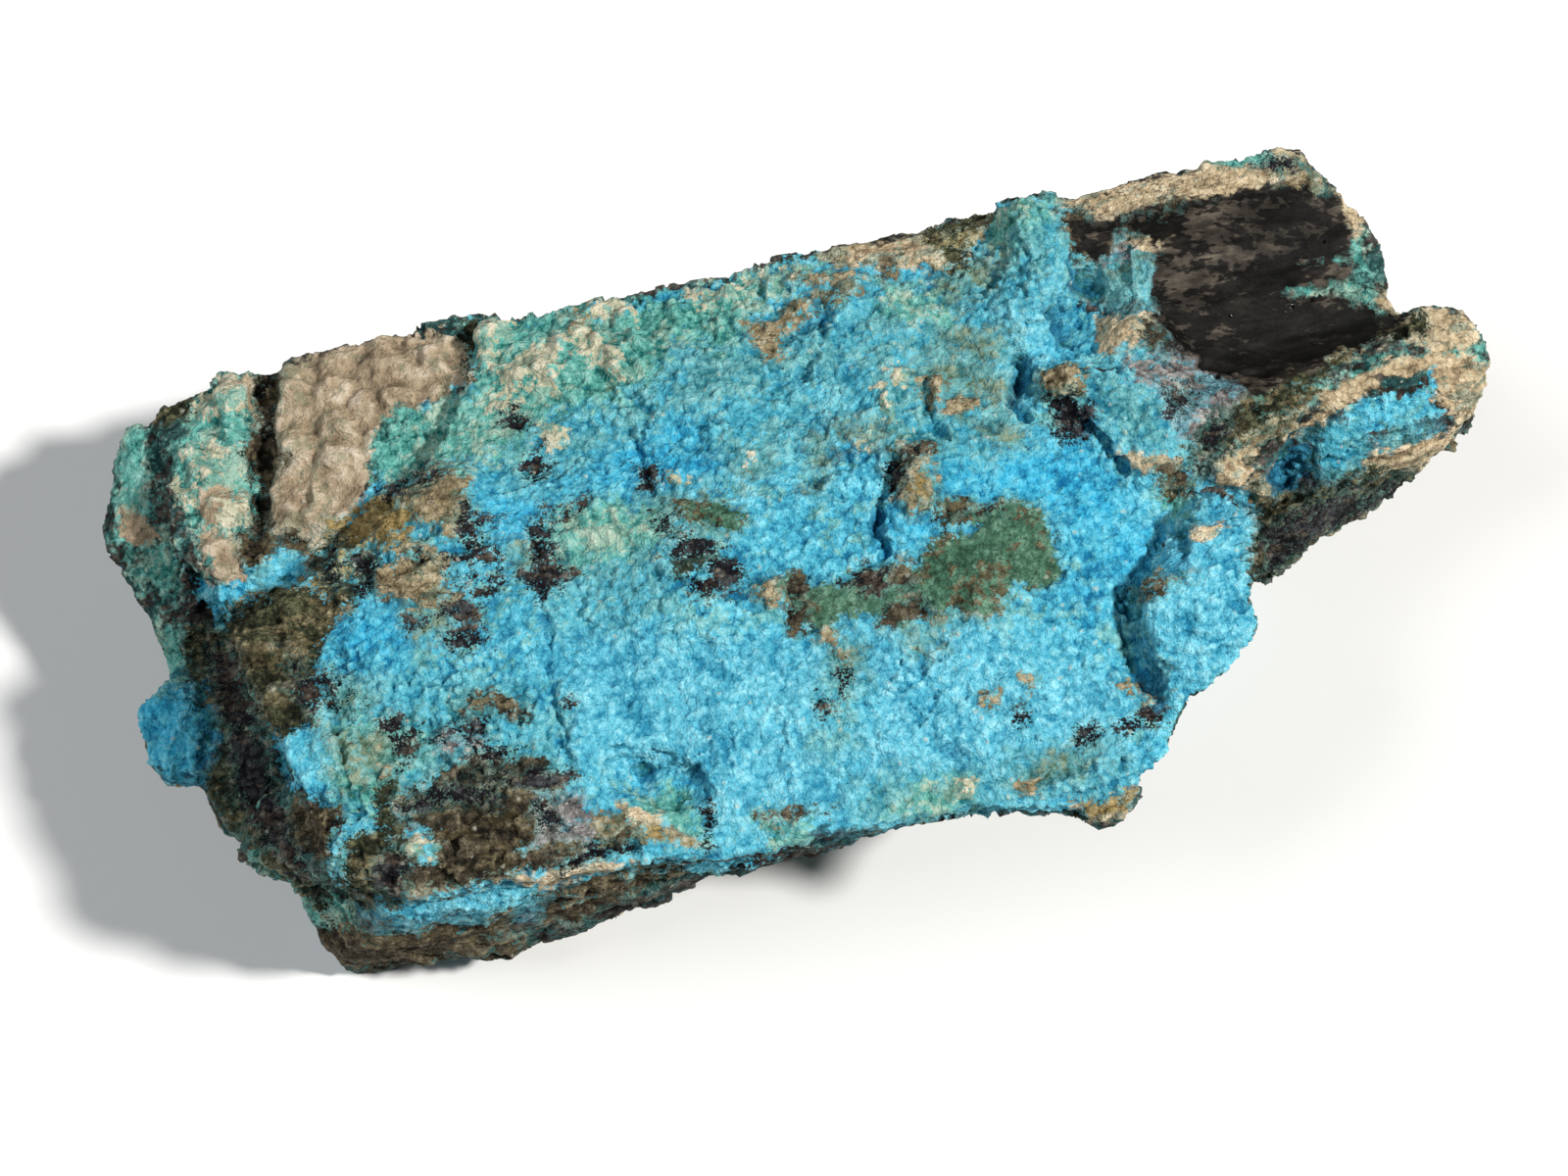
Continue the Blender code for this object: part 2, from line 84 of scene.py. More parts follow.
# The patches of each kind of mineral, as outlines on the rock in the photograph's pixels, 1600 by
# 1200. A later kind lies over an earlier one.
PATCHES = {
    "crust": {
        "main face": "480,322 640,308 800,268 900,262 1010,205 1085,198 1112,250 1096,300 1150,345 1215,440"
                     " 1215,490 1275,505 1290,640 1262,700 1205,730 1195,775 1160,820 1080,832 1000,848"
                     " 850,848 800,862 745,890 660,893 560,905 400,925 345,900 285,765 250,700 240,620"
                     " 330,560 385,470 420,410 470,385",
        "ledge": "389,941 386,925 406,918 430,900 487,896 536,888 566,892 563,910 528,928 487,936 450,926"
                 " 434,944 402,952",
        "lobe": "142,706 172,696 206,712 216,752 204,786 172,798 144,770",
        "floor": "232,626 245,590 268,572 280,553 302,552 327,573 325,590 279,602",
        "shoulder foot": "208,592 230,588 245,600 240,628 222,636 210,618",
        "tail": "1376,414 1400,407 1440,404 1455,385 1466,372 1463,400 1472,420 1440,432 1402,447 1382,470"
                " 1352,476 1338,458 1350,444 1368,430",
    },
    "powder": {
        "centre": "560,640 760,650 1000,640 1130,690 1150,780 1000,830 700,850 600,770",
        "slab": "1170,500 1282,498 1292,640 1262,700 1200,700 1160,620",
        "ridge": "1030,290 1070,280 1070,360 1020,350",
        # Painted light: the ledge is coloured paler where it catches the light
        "ledge": "386,945 384,925 420,905 487,898 563,893 563,910 500,932 430,950",
    },
    "azure": {
        "lobe": "138,706 172,694 210,708 216,752 204,790 172,798 144,776",
        "top right": "960,470 1040,450 1110,460 1160,520 1090,560 1060,510 960,505",
        "notch": "1090,600 1120,598 1120,632 1092,630",
        "below teal": "610,420 700,410 760,440 720,500 640,500 600,470",
        "by the tan": "490,500 545,500 550,560 500,556",
        "lobe foot": "146,752 206,760 200,790 160,790",
        "ridge step": "1070,360 1120,340 1130,360 1100,380",
        "under knob": "900,520 950,522 950,560 905,568",
        "left": "345,620 415,600 420,650 360,660",
        "floor": "240,600 300,570 322,582 270,600",
        "pit": "640,790 720,790 720,810 640,812",
        "right edge": "1130,520 1190,540 1180,600 1140,640",
    },
    "aqua": {
        "upper middle": "700,380 800,370 830,440 780,480 700,450",
        "below the edge": "480,450 560,440 640,400 700,350 860,330 880,370 760,400 640,450 520,500",
        "upper right": "880,310 1000,290 1030,350 1040,430 1000,470 900,460 850,420 860,360",
        "beside the bar": "562,522 610,512 672,520 680,600 640,600 580,605 562,570",
        "left": "330,700 400,690 540,700 570,780 480,780 420,810 390,840 345,830",
        "above the tan": "560,600 640,600 640,640 570,640",
        "centre low": "840,660 880,660 880,770 830,770",
        "front right": "1030,770 1130,750 1150,790 1080,810 1020,810",
        "front": "870,790 1000,780 1010,830 880,838",
        "strip": "1108,380 1140,372 1165,380 1185,400 1197,420 1202,440 1213,460 1205,476 1180,466"
                 " 1150,456 1130,430 1115,405",
        "slope": "1100,350 1160,350 1190,372 1150,380 1110,380",
        "ridge": "1010,220 1084,206 1104,250 1076,290 1040,330 1010,300",
        "ridge foot": "1110,250 1168,248 1178,300 1172,318 1140,322 1108,300",
        "tail": "1338,446 1360,432 1400,450 1440,432 1470,436 1440,455 1400,470 1370,486 1345,474",
    },
    "teal": {
        "tail top": "1344,402 1374,384 1440,362 1500,346 1518,352 1516,362 1470,368 1404,380 1354,402",
        "top edge": "474,330 560,312 690,300 800,270 840,270 800,290 760,330 740,360 700,350 650,398"
                    " 600,420 540,430 530,460 480,470 440,490 400,490 372,480 378,440 400,410 476,395",
        "ridge": "1002,214 1040,200 1084,204 1060,220 1040,240 1020,262 1000,268",
        "face": "900,290 960,300 970,330 930,330 900,315",
        "shoulder": "184,404 236,384 262,392 258,470 264,520 246,548 206,552 180,510 176,470 184,440",
        "shoulder foot": "204,552 226,556 232,580 212,590",
        "beside the star": "566,524 610,512 660,514 680,536 676,556 640,566 600,572 572,586 562,562",
        "left low": "345,742 392,728 440,744 430,770 392,790 400,812 360,826 340,790",
        "spike": "240,862 285,866 330,915 345,940 300,925",
        "wall": "330,900 352,930 380,985 350,980 310,930",
        "neck": "158,625 182,640 186,690 160,702 150,660",
        "flank": "108,440 148,425 156,500 160,560 116,556",
        "low flank": "124,556 150,560 184,556 186,612 160,606 132,588",
        "rim": "1200,172 1225,156 1300,150 1300,166 1250,172 1210,182",
        "right rim": "1378,244 1388,240 1398,290 1386,290",
        "crease": "1290,290 1330,288 1370,282 1390,286 1400,298 1440,318 1400,310 1360,300 1300,298",
        "crease line": "1214,296 1240,292 1290,294 1290,300 1240,299",
        "upper streak": "1336,264 1384,258 1388,272 1342,276",
        "low streak": "940,800 990,790 998,822 960,832 900,830",
        "bottom": "775,838 830,836 824,852 790,860",
        "pit": "640,805 700,800 716,850 690,856 650,830",
        "groove": "1182,498 1212,500 1215,530 1200,538 1184,520",
    },
    "moss": {
        "olive top": "966,344 1020,336 1040,356 1000,372 970,366",
        "beside it": "942,362 1000,370 1040,390 1030,412 990,405 945,388",
        "low": "990,430 1040,440 1050,456 1000,452",
        "above the tongue": "655,500 720,498 745,520 735,545 690,545 668,525",
        "right of centre": "822,436 850,440 850,470 842,500 826,490",
        "left of centre": "750,470 785,466 780,488 755,492",
        "middle": "850,654 874,658 872,682 852,676",
        "front": "1048,782 1080,770 1120,764 1122,776 1080,792 1050,800",
        "pink": "926,642 962,640 960,658 930,660",
        "ridge foot": "1126,252 1164,250 1172,290 1150,300 1124,284",
        "left pink": "955,272 1012,268 1015,292 985,310 956,296",
        "left": "335,740 400,735 400,790 350,796",
        "under the tan": "413,612 465,612 466,650 425,655",
        "left dots": "332,690 370,694 372,722 336,730",
        "upper": "900,430 850,432 846,450 890,452",
        "by the star": "525,555 545,552 545,580 528,582",
    },
    "beige": {
        "nodules": "270,378 340,358 415,346 452,342 480,350 482,388 430,408 390,430 376,465 376,492 362,523"
                   " 335,553 320,565 298,550 271,540 264,480 268,431",
        "shoulder": "224,392 252,384 264,394 260,424 238,420",
        "shoulder low": "196,500 226,496 250,504 256,534 236,546 210,538 196,520",
        "shoulder foot": "206,548 246,548 246,590 216,598",
        "flank": "124,520 150,526 162,546 146,556 128,546",
    },
    "cream": {
        "band": "1078,192 1130,188 1190,176 1240,170 1300,170 1312,182 1290,193 1240,199 1200,209 1160,219"
                " 1120,224 1098,217 1084,206",
        "tip": "1296,154 1330,152 1340,166 1318,176 1298,168",
        "lower band": "1126,258 1150,243 1180,236 1206,237 1222,248 1190,253 1150,251",
        "edge": "838,264 862,250 900,242 950,231 985,213 1012,207 1006,235 1000,252 985,266 940,269"
                " 915,269 880,272 850,277",
        "patch": "1118,328 1150,320 1174,322 1178,340 1160,352 1124,356",
        "strip end": "1144,462 1185,462 1208,474 1200,488 1166,484",
        "tail ridge": "1336,430 1344,402 1372,388 1410,382 1412,400 1380,410 1352,436",
        "tail rim": "1440,328 1465,316 1494,314 1510,332 1500,346 1460,350 1436,346",
        "tail end": "1466,368 1500,362 1524,366 1520,402 1504,428 1478,424 1462,404",
        "tail top": "1380,384 1440,364 1470,360 1470,372 1410,384 1384,392",
        "tail band": "1396,476 1420,458 1470,444 1492,428 1484,452 1456,478 1400,484",
        "pocket": "1238,470 1262,455 1290,440 1322,430 1322,441 1286,456 1272,470 1288,482 1302,500"
                  " 1282,518 1262,498 1244,486",
        "slab spots": "1218,540 1240,538 1242,550 1220,554",
        "slab spot": "1244,532 1260,533 1258,542 1244,541",
        "streak": "618,816 634,816 660,830 690,846 716,858 702,862 672,850 640,836",
        "left of pit": "402,812 414,812 420,835 404,850",
        "slick rim": "1366,196 1382,206 1390,240 1382,250 1374,226",
        "slick foot": "1404,302 1440,314 1460,328 1436,330 1412,316",
        "pink grain": "1322,196 1348,190 1346,208 1326,212",
        "upper wall": "510,898 570,886 646,874 646,882 600,896 540,912",
        "lip": "1094,824 1113,820 1141,812 1162,806 1157,828 1129,840 1110,836",
        "tip of the tail": "1392,338 1432,330 1436,340 1400,352",
        "left": "384,744 394,742 392,764 382,764",
    },
    "tan": {
        "crooked patch": "404,500 431,484 460,476 476,490 482,515 478,540 456,548 440,534 424,530 408,526",
        "strand": "378,556 432,552 440,563 384,568",
        "second patch": "376,580 400,572 454,570 456,596 466,606 442,626 420,614 400,606 378,602",
        "knot": "773,596 786,588 808,588 812,604 792,612 776,606",
        "knob": "912,468 930,458 956,462 951,485 948,515 932,524 912,508 918,488",
        "step olive": "1062,380 1088,374 1110,380 1106,406 1070,406",
        "streak": "762,333 790,325 820,305 850,296 876,288 882,297 850,312 820,325 795,345 798,361"
                  " 780,363 768,345",
        "upper streak": "800,284 850,278 884,276 880,290 830,296",
        "tongue foot": "974,604 1000,600 1022,600 1020,622 1003,633 984,630 972,618",
        "tongue knob": "948,612 966,608 968,626 952,630",
        "tongue tip": "834,636 850,634 850,654 840,656",
        "low streak": "1034,800 1048,792 1060,796 1056,806 1038,808",
        "right streak": "1140,696 1165,698 1186,712 1180,722 1160,712",
        "slab edge": "1164,604 1180,590 1216,584 1216,594 1190,600 1172,612",
        "olive top": "944,384 962,382 968,404 955,412 946,402",
        "below it": "964,404 996,402 1002,418 980,426 966,420",
        "corner": "356,864 386,852 398,866 396,884 372,890 358,884",
        "brown foot": "404,882 450,884 500,874 556,868 560,882 500,900 430,912 402,908",
        "brown top": "450,786 490,772 540,776 544,798 500,802 456,800",
        "brown middle": "440,846 500,842 516,870 480,882 444,872",
        "top specks": "572,326 598,322 604,342 580,348",
        "pocket side": "1256,428 1300,418 1326,420 1318,434 1290,448 1258,456",
        "small": "388,784 400,782 398,796 388,795",
        "bottom": "775,830 800,826 806,832 780,838",
        "slick middle": "1204,226 1240,214 1300,220 1310,240 1280,262 1230,268 1204,250",
        "slick corner": "1310,170 1340,176 1352,196 1330,204 1306,190",
        "tail lower": "1330,352 1372,340 1400,348 1372,364 1336,380",
        "spot": "1042,690 1058,692 1060,704 1046,704",
        "spot two": "1010,710 1020,710 1018,720 1010,720",
        "pebble": "853,657 872,660 870,678 856,674",
        "front edge": "604,832 640,836 660,852 620,862 600,850",
    },
    "ochre": {
        "left": "336,548 352,530 384,510 410,500 414,540 388,552 370,558 352,566 338,562",
        "under": "322,584 346,572 352,590 330,600",
        "left low": "340,562 358,558 360,584 344,584",
        "left foot": "318,594 340,592 338,606 320,606",
        "block top": "270,606 310,596 332,602 324,618 284,616",
        "lip": "1100,822 1141,814 1158,812 1150,826 1120,834",
        "streak end": "664,846 690,848 704,858 676,860 660,854",
        "tongue foot": "990,602 1020,600 1018,620 1000,630 988,618",
        "tongue streak": "1010,548 1030,534 1060,530 1050,540 1020,552",
        "knob": "918,496 940,496 944,510 924,512",
        "edge": "940,244 970,230 1000,226 990,246 955,258",
        "spike": "270,836 300,826 304,846 276,852",
        "brown foot": "450,866 500,860 520,872 470,880",
    },
    "nodule": {
        "one": "478,335 500,325 520,330 510,350 500,365 520,375 535,360 560,345 580,345 592,332 612,345"
               " 632,356 642,385 625,392 615,368 592,366 577,358 567,378 567,402 550,402 540,386 520,398"
               " 505,382 488,362",
        "two": "600,312 640,308 644,326 612,332",
        "three": "700,298 760,286 800,274 800,284 750,300 720,312",
        "floor": "500,400 530,410 520,425 496,418",
        "four": "556,436 580,434 584,450 562,452",
        "shoulder top": "200,404 222,394 246,400 246,424 222,434 204,424",
        "shoulder middle": "188,462 214,450 240,458 246,482 224,494 194,488",
        "shoulder low": "218,512 240,508 250,530 230,540",
        "shoulder rim": "180,494 196,498 200,516 186,512",
        "grains": "893,398 906,388 912,420 920,432 908,436 898,414",
        "grain one": "904,376 926,378 926,394 908,392",
        "grain two": "866,448 886,446 886,462 870,462",
        "grain three": "912,444 928,444 926,460 914,458",
        "grain four": "762,462 770,460 772,470 764,472",
        "grain five": "682,484 694,482 694,492 684,492",
        "corner lump": "402,856 424,848 442,858 438,874 416,882 402,872",
        "low": "970,800 990,796 992,812 974,812",
    },
    "green": {
        "tongue": "800,594 815,590 840,594 862,590 872,582 905,578 935,575 940,562 958,546 998,546 1004,536"
                  " 960,532 950,520 960,508 985,510 1010,518 1030,510 1052,518 1064,530 1077,555 1082,580"
                  " 1072,600 1050,600 1020,606 1020,622 1005,630 975,622 960,628 945,620 935,630 920,638"
                  " 905,640 895,628 875,625 860,632 848,640 828,640 815,640 803,640 805,625 800,610",
        "left end": "690,512 740,512 758,528 744,540 716,534 694,528",
        "block": "258,640 290,630 296,660 280,690 262,680",
        "pocket": "1286,402 1330,396 1334,408 1292,418",
    },
    "marble": {
        "patch": "1150,368 1190,366 1210,357 1240,367 1290,373 1292,380 1276,396 1262,411 1240,426 1228,441"
                 " 1216,456 1200,450 1196,430 1186,410 1170,400 1152,392",
        "brown corner": "508,806 560,796 604,812 606,852 580,872 530,872 508,850",
        "speckled": "450,744 490,744 492,764 452,770",
        "lower left": "400,822 430,824 430,848 404,850",
        "right": "1116,245 1150,240 1150,262 1120,270",
    },
    "olive": {
        "block": "232,628 256,610 280,604 340,597 376,590 362,620 345,628 333,655 313,702 322,729 295,750"
                 " 272,749 254,729 233,682 228,651",
        "left of tan": "316,570 332,552 346,556 348,596 326,600",
        "crevice": "352,560 374,556 380,572 376,606 362,608",
        # Painted shade: the steep left wall is coloured dark where shade falls on it
        "shaded left wall": "190,644 230,640 262,742 300,862 335,932 300,908 262,868 234,846 216,802"
                     " 224,752 204,704",
        "pocket": "1213,458 1235,425 1262,411 1292,408 1290,390 1330,386 1346,392 1326,420 1300,430"
                  " 1270,440 1255,456 1240,476 1222,492",
        "corner": "350,852 378,846 410,858 414,884 408,922 372,928 352,905",
        # Painted shade: the tail's side away from the light is coloured dark
        "shaded tail side": "1276,520 1300,510 1355,495 1400,482 1456,478 1380,540 1330,575 1280,606",
        "bottom of strip": "1184,486 1212,478 1218,492 1214,506 1196,504",
        "back edge": "940,232 980,214 1012,206 1006,222 990,236 950,246",
        "left rim": "155,408 190,396 192,424 162,430",
        "edge dark": "476,330 500,322 490,345 476,380",
        "slick foot": "1290,366 1340,352 1372,362 1340,392 1300,396",
        "dark step": "964,252 992,250 990,266 968,266",
        "tail streak": "1400,326 1450,324 1456,334 1420,342 1396,340",
        "under bars": "680,568 740,562 740,576 690,582",
        "left edge of face": "385,812 400,800 408,850 386,862",
    },
    "brown": {
        "front wall": "300,960 340,940 372,954 440,950 520,934 516,950 470,980 420,996 340,990",
        "front wall right": "556,920 600,902 680,882 700,892 640,914 580,946 552,944",
        "front wall low": "480,976 540,956 544,966 500,992",
        "middle": "436,806 480,790 540,800 548,830 540,862 500,884 452,884 446,850",
        "lower left": "408,812 430,800 455,783 487,772 532,770 560,782 585,790 570,804 512,810 508,850"
                      " 530,872 600,860 640,850 648,862 600,872 565,888 528,886 487,902 412,906 405,882"
                      " 442,878 445,850 418,840",
        "seam": "262,376 288,374 284,400 288,412 278,430 284,460 292,474 276,478 270,520 274,545 258,560"
                " 248,545 262,530 260,470 240,462 262,440 262,395",
        "floor seam": "242,542 264,536 282,552 300,545 330,572 320,580 300,556 278,556 262,578 244,565",
        "tongue bar": "902,578 934,574 928,592 902,602",
        "tongue top": "958,526 964,508 988,510 984,520 968,534",
        "tongue peak": "1003,518 1016,508 1028,510 1022,520",
        "tongue foot": "900,616 940,610 945,622 920,640 900,636",
        "tongue left": "808,584 818,582 820,604 808,606",
        "tongue tip": "804,626 822,618 822,640 810,652 802,646",
        "mark": "474,722 498,703 512,708 536,722 532,736 514,730 500,714 482,726",
        "edge of knob": "912,462 938,450 954,456 930,466 920,492 908,496",
        "spike": "246,856 270,832 310,815 350,818 352,850 330,880 286,868",
        "strip end": "1186,478 1208,476 1212,490 1192,494",
        "slick fringe": "1083,212 1110,222 1132,226 1140,240 1120,262 1104,262 1092,240",
        "second fringe": "1138,222 1200,206 1202,230 1150,234",
        "tail spot": "1274,556 1292,556 1294,576 1276,578",
        "tan side": "1162,328 1180,326 1188,346 1170,350",
        "slab edge": "1160,606 1186,592 1190,602 1166,614",
        "low lip": "848,826 806,824 776,832 806,836 850,836",
        "front": "900,262 916,262 914,282 902,280",
    },
    "slick": {
        "face": "1086,214 1104,222 1140,222 1200,210 1250,200 1300,190 1330,186 1364,200 1378,240 1376,262"
                " 1330,266 1380,268 1380,286 1300,300 1350,304 1400,310 1440,326 1404,342 1356,368"
                " 1312,388 1284,410 1262,392 1220,366 1196,350 1180,326 1176,290 1180,262 1196,252 1150,238"
                " 1120,262 1100,250",
    },
    "black": {
        "top of tan": "424,486 446,480 450,490 430,497",
        "tan side": "474,508 481,508 484,530 496,524 500,530 478,546 462,552 470,536",
        "bar one": "474,548 504,552 512,562 498,568 472,560",
        "line": "424,568 470,560 500,562 498,572 450,576",
        "speckles one": "466,588 486,582 490,600 478,602",
        "speckles two": "482,594 508,588 510,600 496,610 484,612",
        "speckles three": "456,618 486,612 488,634 460,640",
        "speckles four": "452,650 490,636 488,656 462,662",
        "dash": "418,632 450,628 450,638 420,642",
        "left block": "330,560 344,548 352,556 344,568 350,584 340,592 330,580",
        "block crack": "356,560 378,572 380,598 366,612 360,590",
        "upper block": "392,496 410,492 412,506 400,512",
        "star": "540,538 552,534 560,556 572,576 592,584 574,592 566,602 552,612 544,598"
                " 534,590 546,572 544,552",
        "dark bar": "563,531 585,522 595,508 600,512 588,528 566,537",
        "small bar": "544,528 556,522 562,528 548,534",
        "spot above": "534,468 550,462 560,474 550,486 536,484",
        "spot hole": "510,424 524,422 534,430 530,438 516,432",
        "face specks": "654,476 666,472 668,486 662,504 654,496",
        "end one": "668,534 680,528 690,540 684,552 670,552",
        "end two": "682,576 700,552 722,548 740,562 706,572",
        "end three": "716,574 750,566 750,580 756,602 716,606 700,594 724,586",
        "tongue bar": "862,596 880,580 904,580 904,602 880,602",
        # Painted shade on the knob's side away from the light
        "shaded knob side": "904,474 914,462 920,470 914,500 904,504",
        "step speckles": "1064,408 1096,402 1120,410 1112,440 1082,446 1068,430",
        "corner one": "392,740 408,736 410,750 396,756",
        "corner two": "406,748 426,742 424,762 414,778 404,768",
        "corner three": "440,756 470,738 494,736 494,750 470,748 450,764",
        "thin line": "478,774 500,768 532,757 534,760 500,772 480,778",
        "brown edge": "408,822 430,806 500,800 504,812 440,820 420,832",
        "brown knob": "544,818 558,820 562,836 550,842",
        "brown line": "500,796 580,786 584,796 560,802 510,806",
        "under line": "566,880 600,866 646,860 648,872 610,876 576,890",
        "block foot": "290,668 318,690 334,712 318,724 300,706",
        "left dots": "322,690 340,686 346,704 366,706 358,722 336,716",
        "right speck": "1100,744 1112,742 1114,754 1104,756",
        "speck two": "1026,732 1040,726 1046,736 1030,742",
        "right dash": "1144,742 1170,726 1182,730 1160,742 1150,748",
        "low speck": "858,690 868,688 870,698 860,700",
        "lower speck": "834,720 840,716 844,732 838,730",
        "small dots": "572,712 582,710 582,722 574,722",
        "slot": "716,815 728,808 730,840 724,862 716,850",
        "corner": "386,880 406,868 414,890 404,918 388,912",
        "slick speck": "1288,168 1322,165 1324,171 1300,173",
        "pocket": "1216,466 1236,432 1256,426 1244,456 1226,482",
        "marble side": "1190,398 1216,396 1214,412 1194,416",
        # Painted shade: the steep left wall is coloured near black where shade falls on it
        "shaded left wall": "214,660 236,664 262,742 296,850 322,905 286,880 250,830 238,800 232,752 220,704",
        # Painted shade: the tail's side away from the light is coloured near black
        "shaded tail side": "1290,540 1340,520 1400,498 1440,490 1390,526 1330,562 1296,588",
    },
    # Painted shade: dark blue laid in pockets, grooves and pits and along steps where shade falls; these
    # places are also set a little lower
    "deep_shade": {
        "lobe side": "204,700 216,716 220,752 208,790 198,786 204,752 198,724",
        "ridge pocket": "1096,272 1108,274 1126,300 1120,310 1104,300 1096,286",
        "ridge side": "1074,316 1084,318 1096,350 1086,354 1076,336",
        "step": "1038,364 1048,360 1052,396 1042,414 1036,396",
        "tail pocket": "1298,478 1310,464 1324,452 1334,462 1336,480 1322,494 1306,500 1298,490",
        "slab wall": "1152,612 1160,608 1162,640 1182,680 1186,716 1178,718 1170,690 1152,650",
        "slab groove": "1200,544 1210,540 1212,558 1206,584 1200,580",
        "groove": "1110,436 1118,434 1132,458 1144,482 1138,484 1124,460",
        "under knob": "890,518 898,514 898,540 892,542",
        "pit one": "650,785 662,784 668,794 658,795",
        "pit two": "698,788 712,785 714,795 704,796",
        "front groove": "970,762 978,758 988,776 990,790 982,788 976,776",
    },
}

# Cracks and sharp little walls: the line in the photograph's pixels, half width and depth in millimetres
CRACKS = {
    "long crack": ("552,610 562,660 558,690 566,720 580,775", 0.22, 0.28),
    "left crack": ("328,695 345,740 352,790 368,835", 0.30, 0.40),
    "knob groove": ("911,460 906,490 897,512 891,535 905,562", 0.32, 0.60),
    "knob foot": ("905,562 880,578 862,590", 0.28, 0.3),
    "patch line": ("400,560 430,566 480,556 506,548", 0.25, 0.22),
    "low line": ("1034,808 1070,796 1112,780", 0.22, 0.30),
    "brown foot": ("566,890 610,872 648,866", 0.30, 0.35),
    "step crack": ("1041,365 1034,408 1050,425", 0.35, 0.55),
    "step side": ("1110,436 1130,460 1148,486", 0.30, 0.45),
    "top step": ("905,455 925,440 960,436", 0.25, 0.3),
    "streak edge": ("778,362 800,345 850,318 882,300", 0.3, 0.3),
    "bar edge": ("668,585 720,600 758,608", 0.3, 0.25),
    "tan edge": ("374,573 387,590 428,576", 0.3, 0.3),
    "seam": ("276,378 272,430 266,480 266,530 258,556", 0.60, 0.40),
    "olive step": ("945,384 948,430 965,446", 0.3, 0.4),
    "star line": ("536,530 556,570 552,608", 0.25, 0.25),
    "marble foot": ("1190,372 1240,374 1290,380", 0.22, 0.2),
    "tail line": ("1345,470 1380,476 1420,470 1480,440", 0.25, 0.25),
    "edge line": ("640,392 660,420 650,450 664,500", 0.25, 0.2),
    "middle line": ("690,412 720,426 736,432", 0.22, 0.25),
    "ridge line": ("838,310 840,345 815,380", 0.3, 0.35),
    "face line": ("820,480 840,500 860,506", 0.22, 0.2),
    "left line": ("438,700 440,730 455,760", 0.22, 0.22),
}

# Lumps and pits by where they are: the middle in the photograph's pixels, the radius in pixels and the
# height in millimetres
LUMPS = {
    "knob and steps": [
        (932, 488, 34, 0.45), (930, 508, 20, 0.25), (1085, 390, 30, 0.40), (1148, 338, 34, 0.22),
    ],
    "tongue": [(1000, 616, 24, 0.35), (958, 618, 12, 0.25), (840, 646, 12, 0.2), (792, 599, 22, 0.25)],
    "shoulder": [(236, 408, 30, 0.55), (196, 470, 22, 0.4), (222, 515, 26, 0.35), (212, 562, 18, 0.35)],
    "beige nodules": [
        (296, 392, 26, 0.45), (300, 450, 24, 0.4), (340, 375, 24, 0.35), (390, 365, 26, 0.35),
        (330, 530, 28, 0.4), (345, 480, 30, 0.3), (290, 520, 22, 0.3), (440, 365, 22, 0.3),
    ],
    "pale nodules": [
        (500, 342, 18, 0.45), (530, 385, 16, 0.4), (560, 380, 16, 0.45), (575, 352, 14, 0.4),
        (610, 348, 14, 0.4), (632, 372, 12, 0.4), (590, 340, 12, 0.3), (648, 345, 14, 0.3),
    ],
    "olive block": [
        (262, 660, 26, 0.45), (300, 620, 24, 0.4), (350, 605, 20, 0.35), (285, 715, 24, 0.4),
        (350, 570, 18, 0.4),
    ],
    "left of the face": [
        (388, 535, 24, 0.3), (400, 505, 20, 0.35), (380, 885, 28, 0.5), (420, 866, 20, 0.4),
        (530, 840, 40, 0.25), (450, 760, 30, 0.2), (505, 715, 30, 0.2),
    ],
    "bars": [(730, 595, 26, 0.2), (705, 560, 24, 0.2)],
    "lip": [(1124, 826, 24, 0.3)],
    "top edge": [
        (870, 295, 30, 0.3), (905, 300, 22, 0.3), (1052, 225, 26, 0.3), (1060, 290, 30, 0.2),
        (745, 300, 18, 0.3), (690, 320, 18, 0.3), (1300, 165, 20, 0.3), (1230, 165, 18, 0.25),
    ],
    "tail": [
        (1490, 395, 30, 0.25), (1370, 400, 24, 0.25), (1262, 486, 16, 0.35), (1285, 502, 14, 0.3),
        (1275, 568, 12, 0.4),
    ],
    "low edge": [(820, 845, 20, 0.25), (985, 808, 10, 0.25)],
    "pits in the face and ridge": [
        (660, 490, 10, -0.3), (526, 431, 11, -0.35), (656, 790, 16, -0.32), (706, 792, 18, -0.35),
        (722, 838, 14, -0.35), (545, 478, 18, -0.3), (778, 387, 10, -0.25), (813, 380, 9, -0.2),
        (980, 772, 20, -0.22), (974, 796, 16, -0.15), (1110, 290, 20, -0.45), (1084, 335, 18, -0.25),
        (1046, 385, 16, -0.3), (550, 555, 14, -0.2), (565, 590, 16, -0.2), (1206, 560, 12, -0.2),
        (1156, 625, 12, -0.25), (380, 592, 12, -0.2),
    ],
    "blue lobe": [
        (160, 724, 26, 0.35), (192, 738, 18, -0.25), (168, 768, 22, 0.30), (204, 712, 18, -0.3),
        (146, 748, 14, 0.25), (184, 786, 16, -0.2), (150, 706, 14, -0.25), (198, 766, 14, 0.2),
    ],
    "pits elsewhere": [
        (346, 556, 12, -0.25), (396, 900, 14, -0.35), (250, 555, 16, -0.3), (1235, 445, 20, -0.35),
        (1240, 408, 10, -0.2), (715, 428, 9, -0.3), (640, 440, 8, -0.3), (1146, 782, 10, -0.3),
    ],
}

# How far each kind stands above or below the surface round it, in millimetres
STEP = {
    "teal": 0.05, "beige": 0.10, "cream": 0.06, "tan": 0.20, "nodule": 0.20, "green": 0.12,
    "brown": -0.03, "slick": -0.08, "black": -0.05, "deep_shade": -0.14,
}

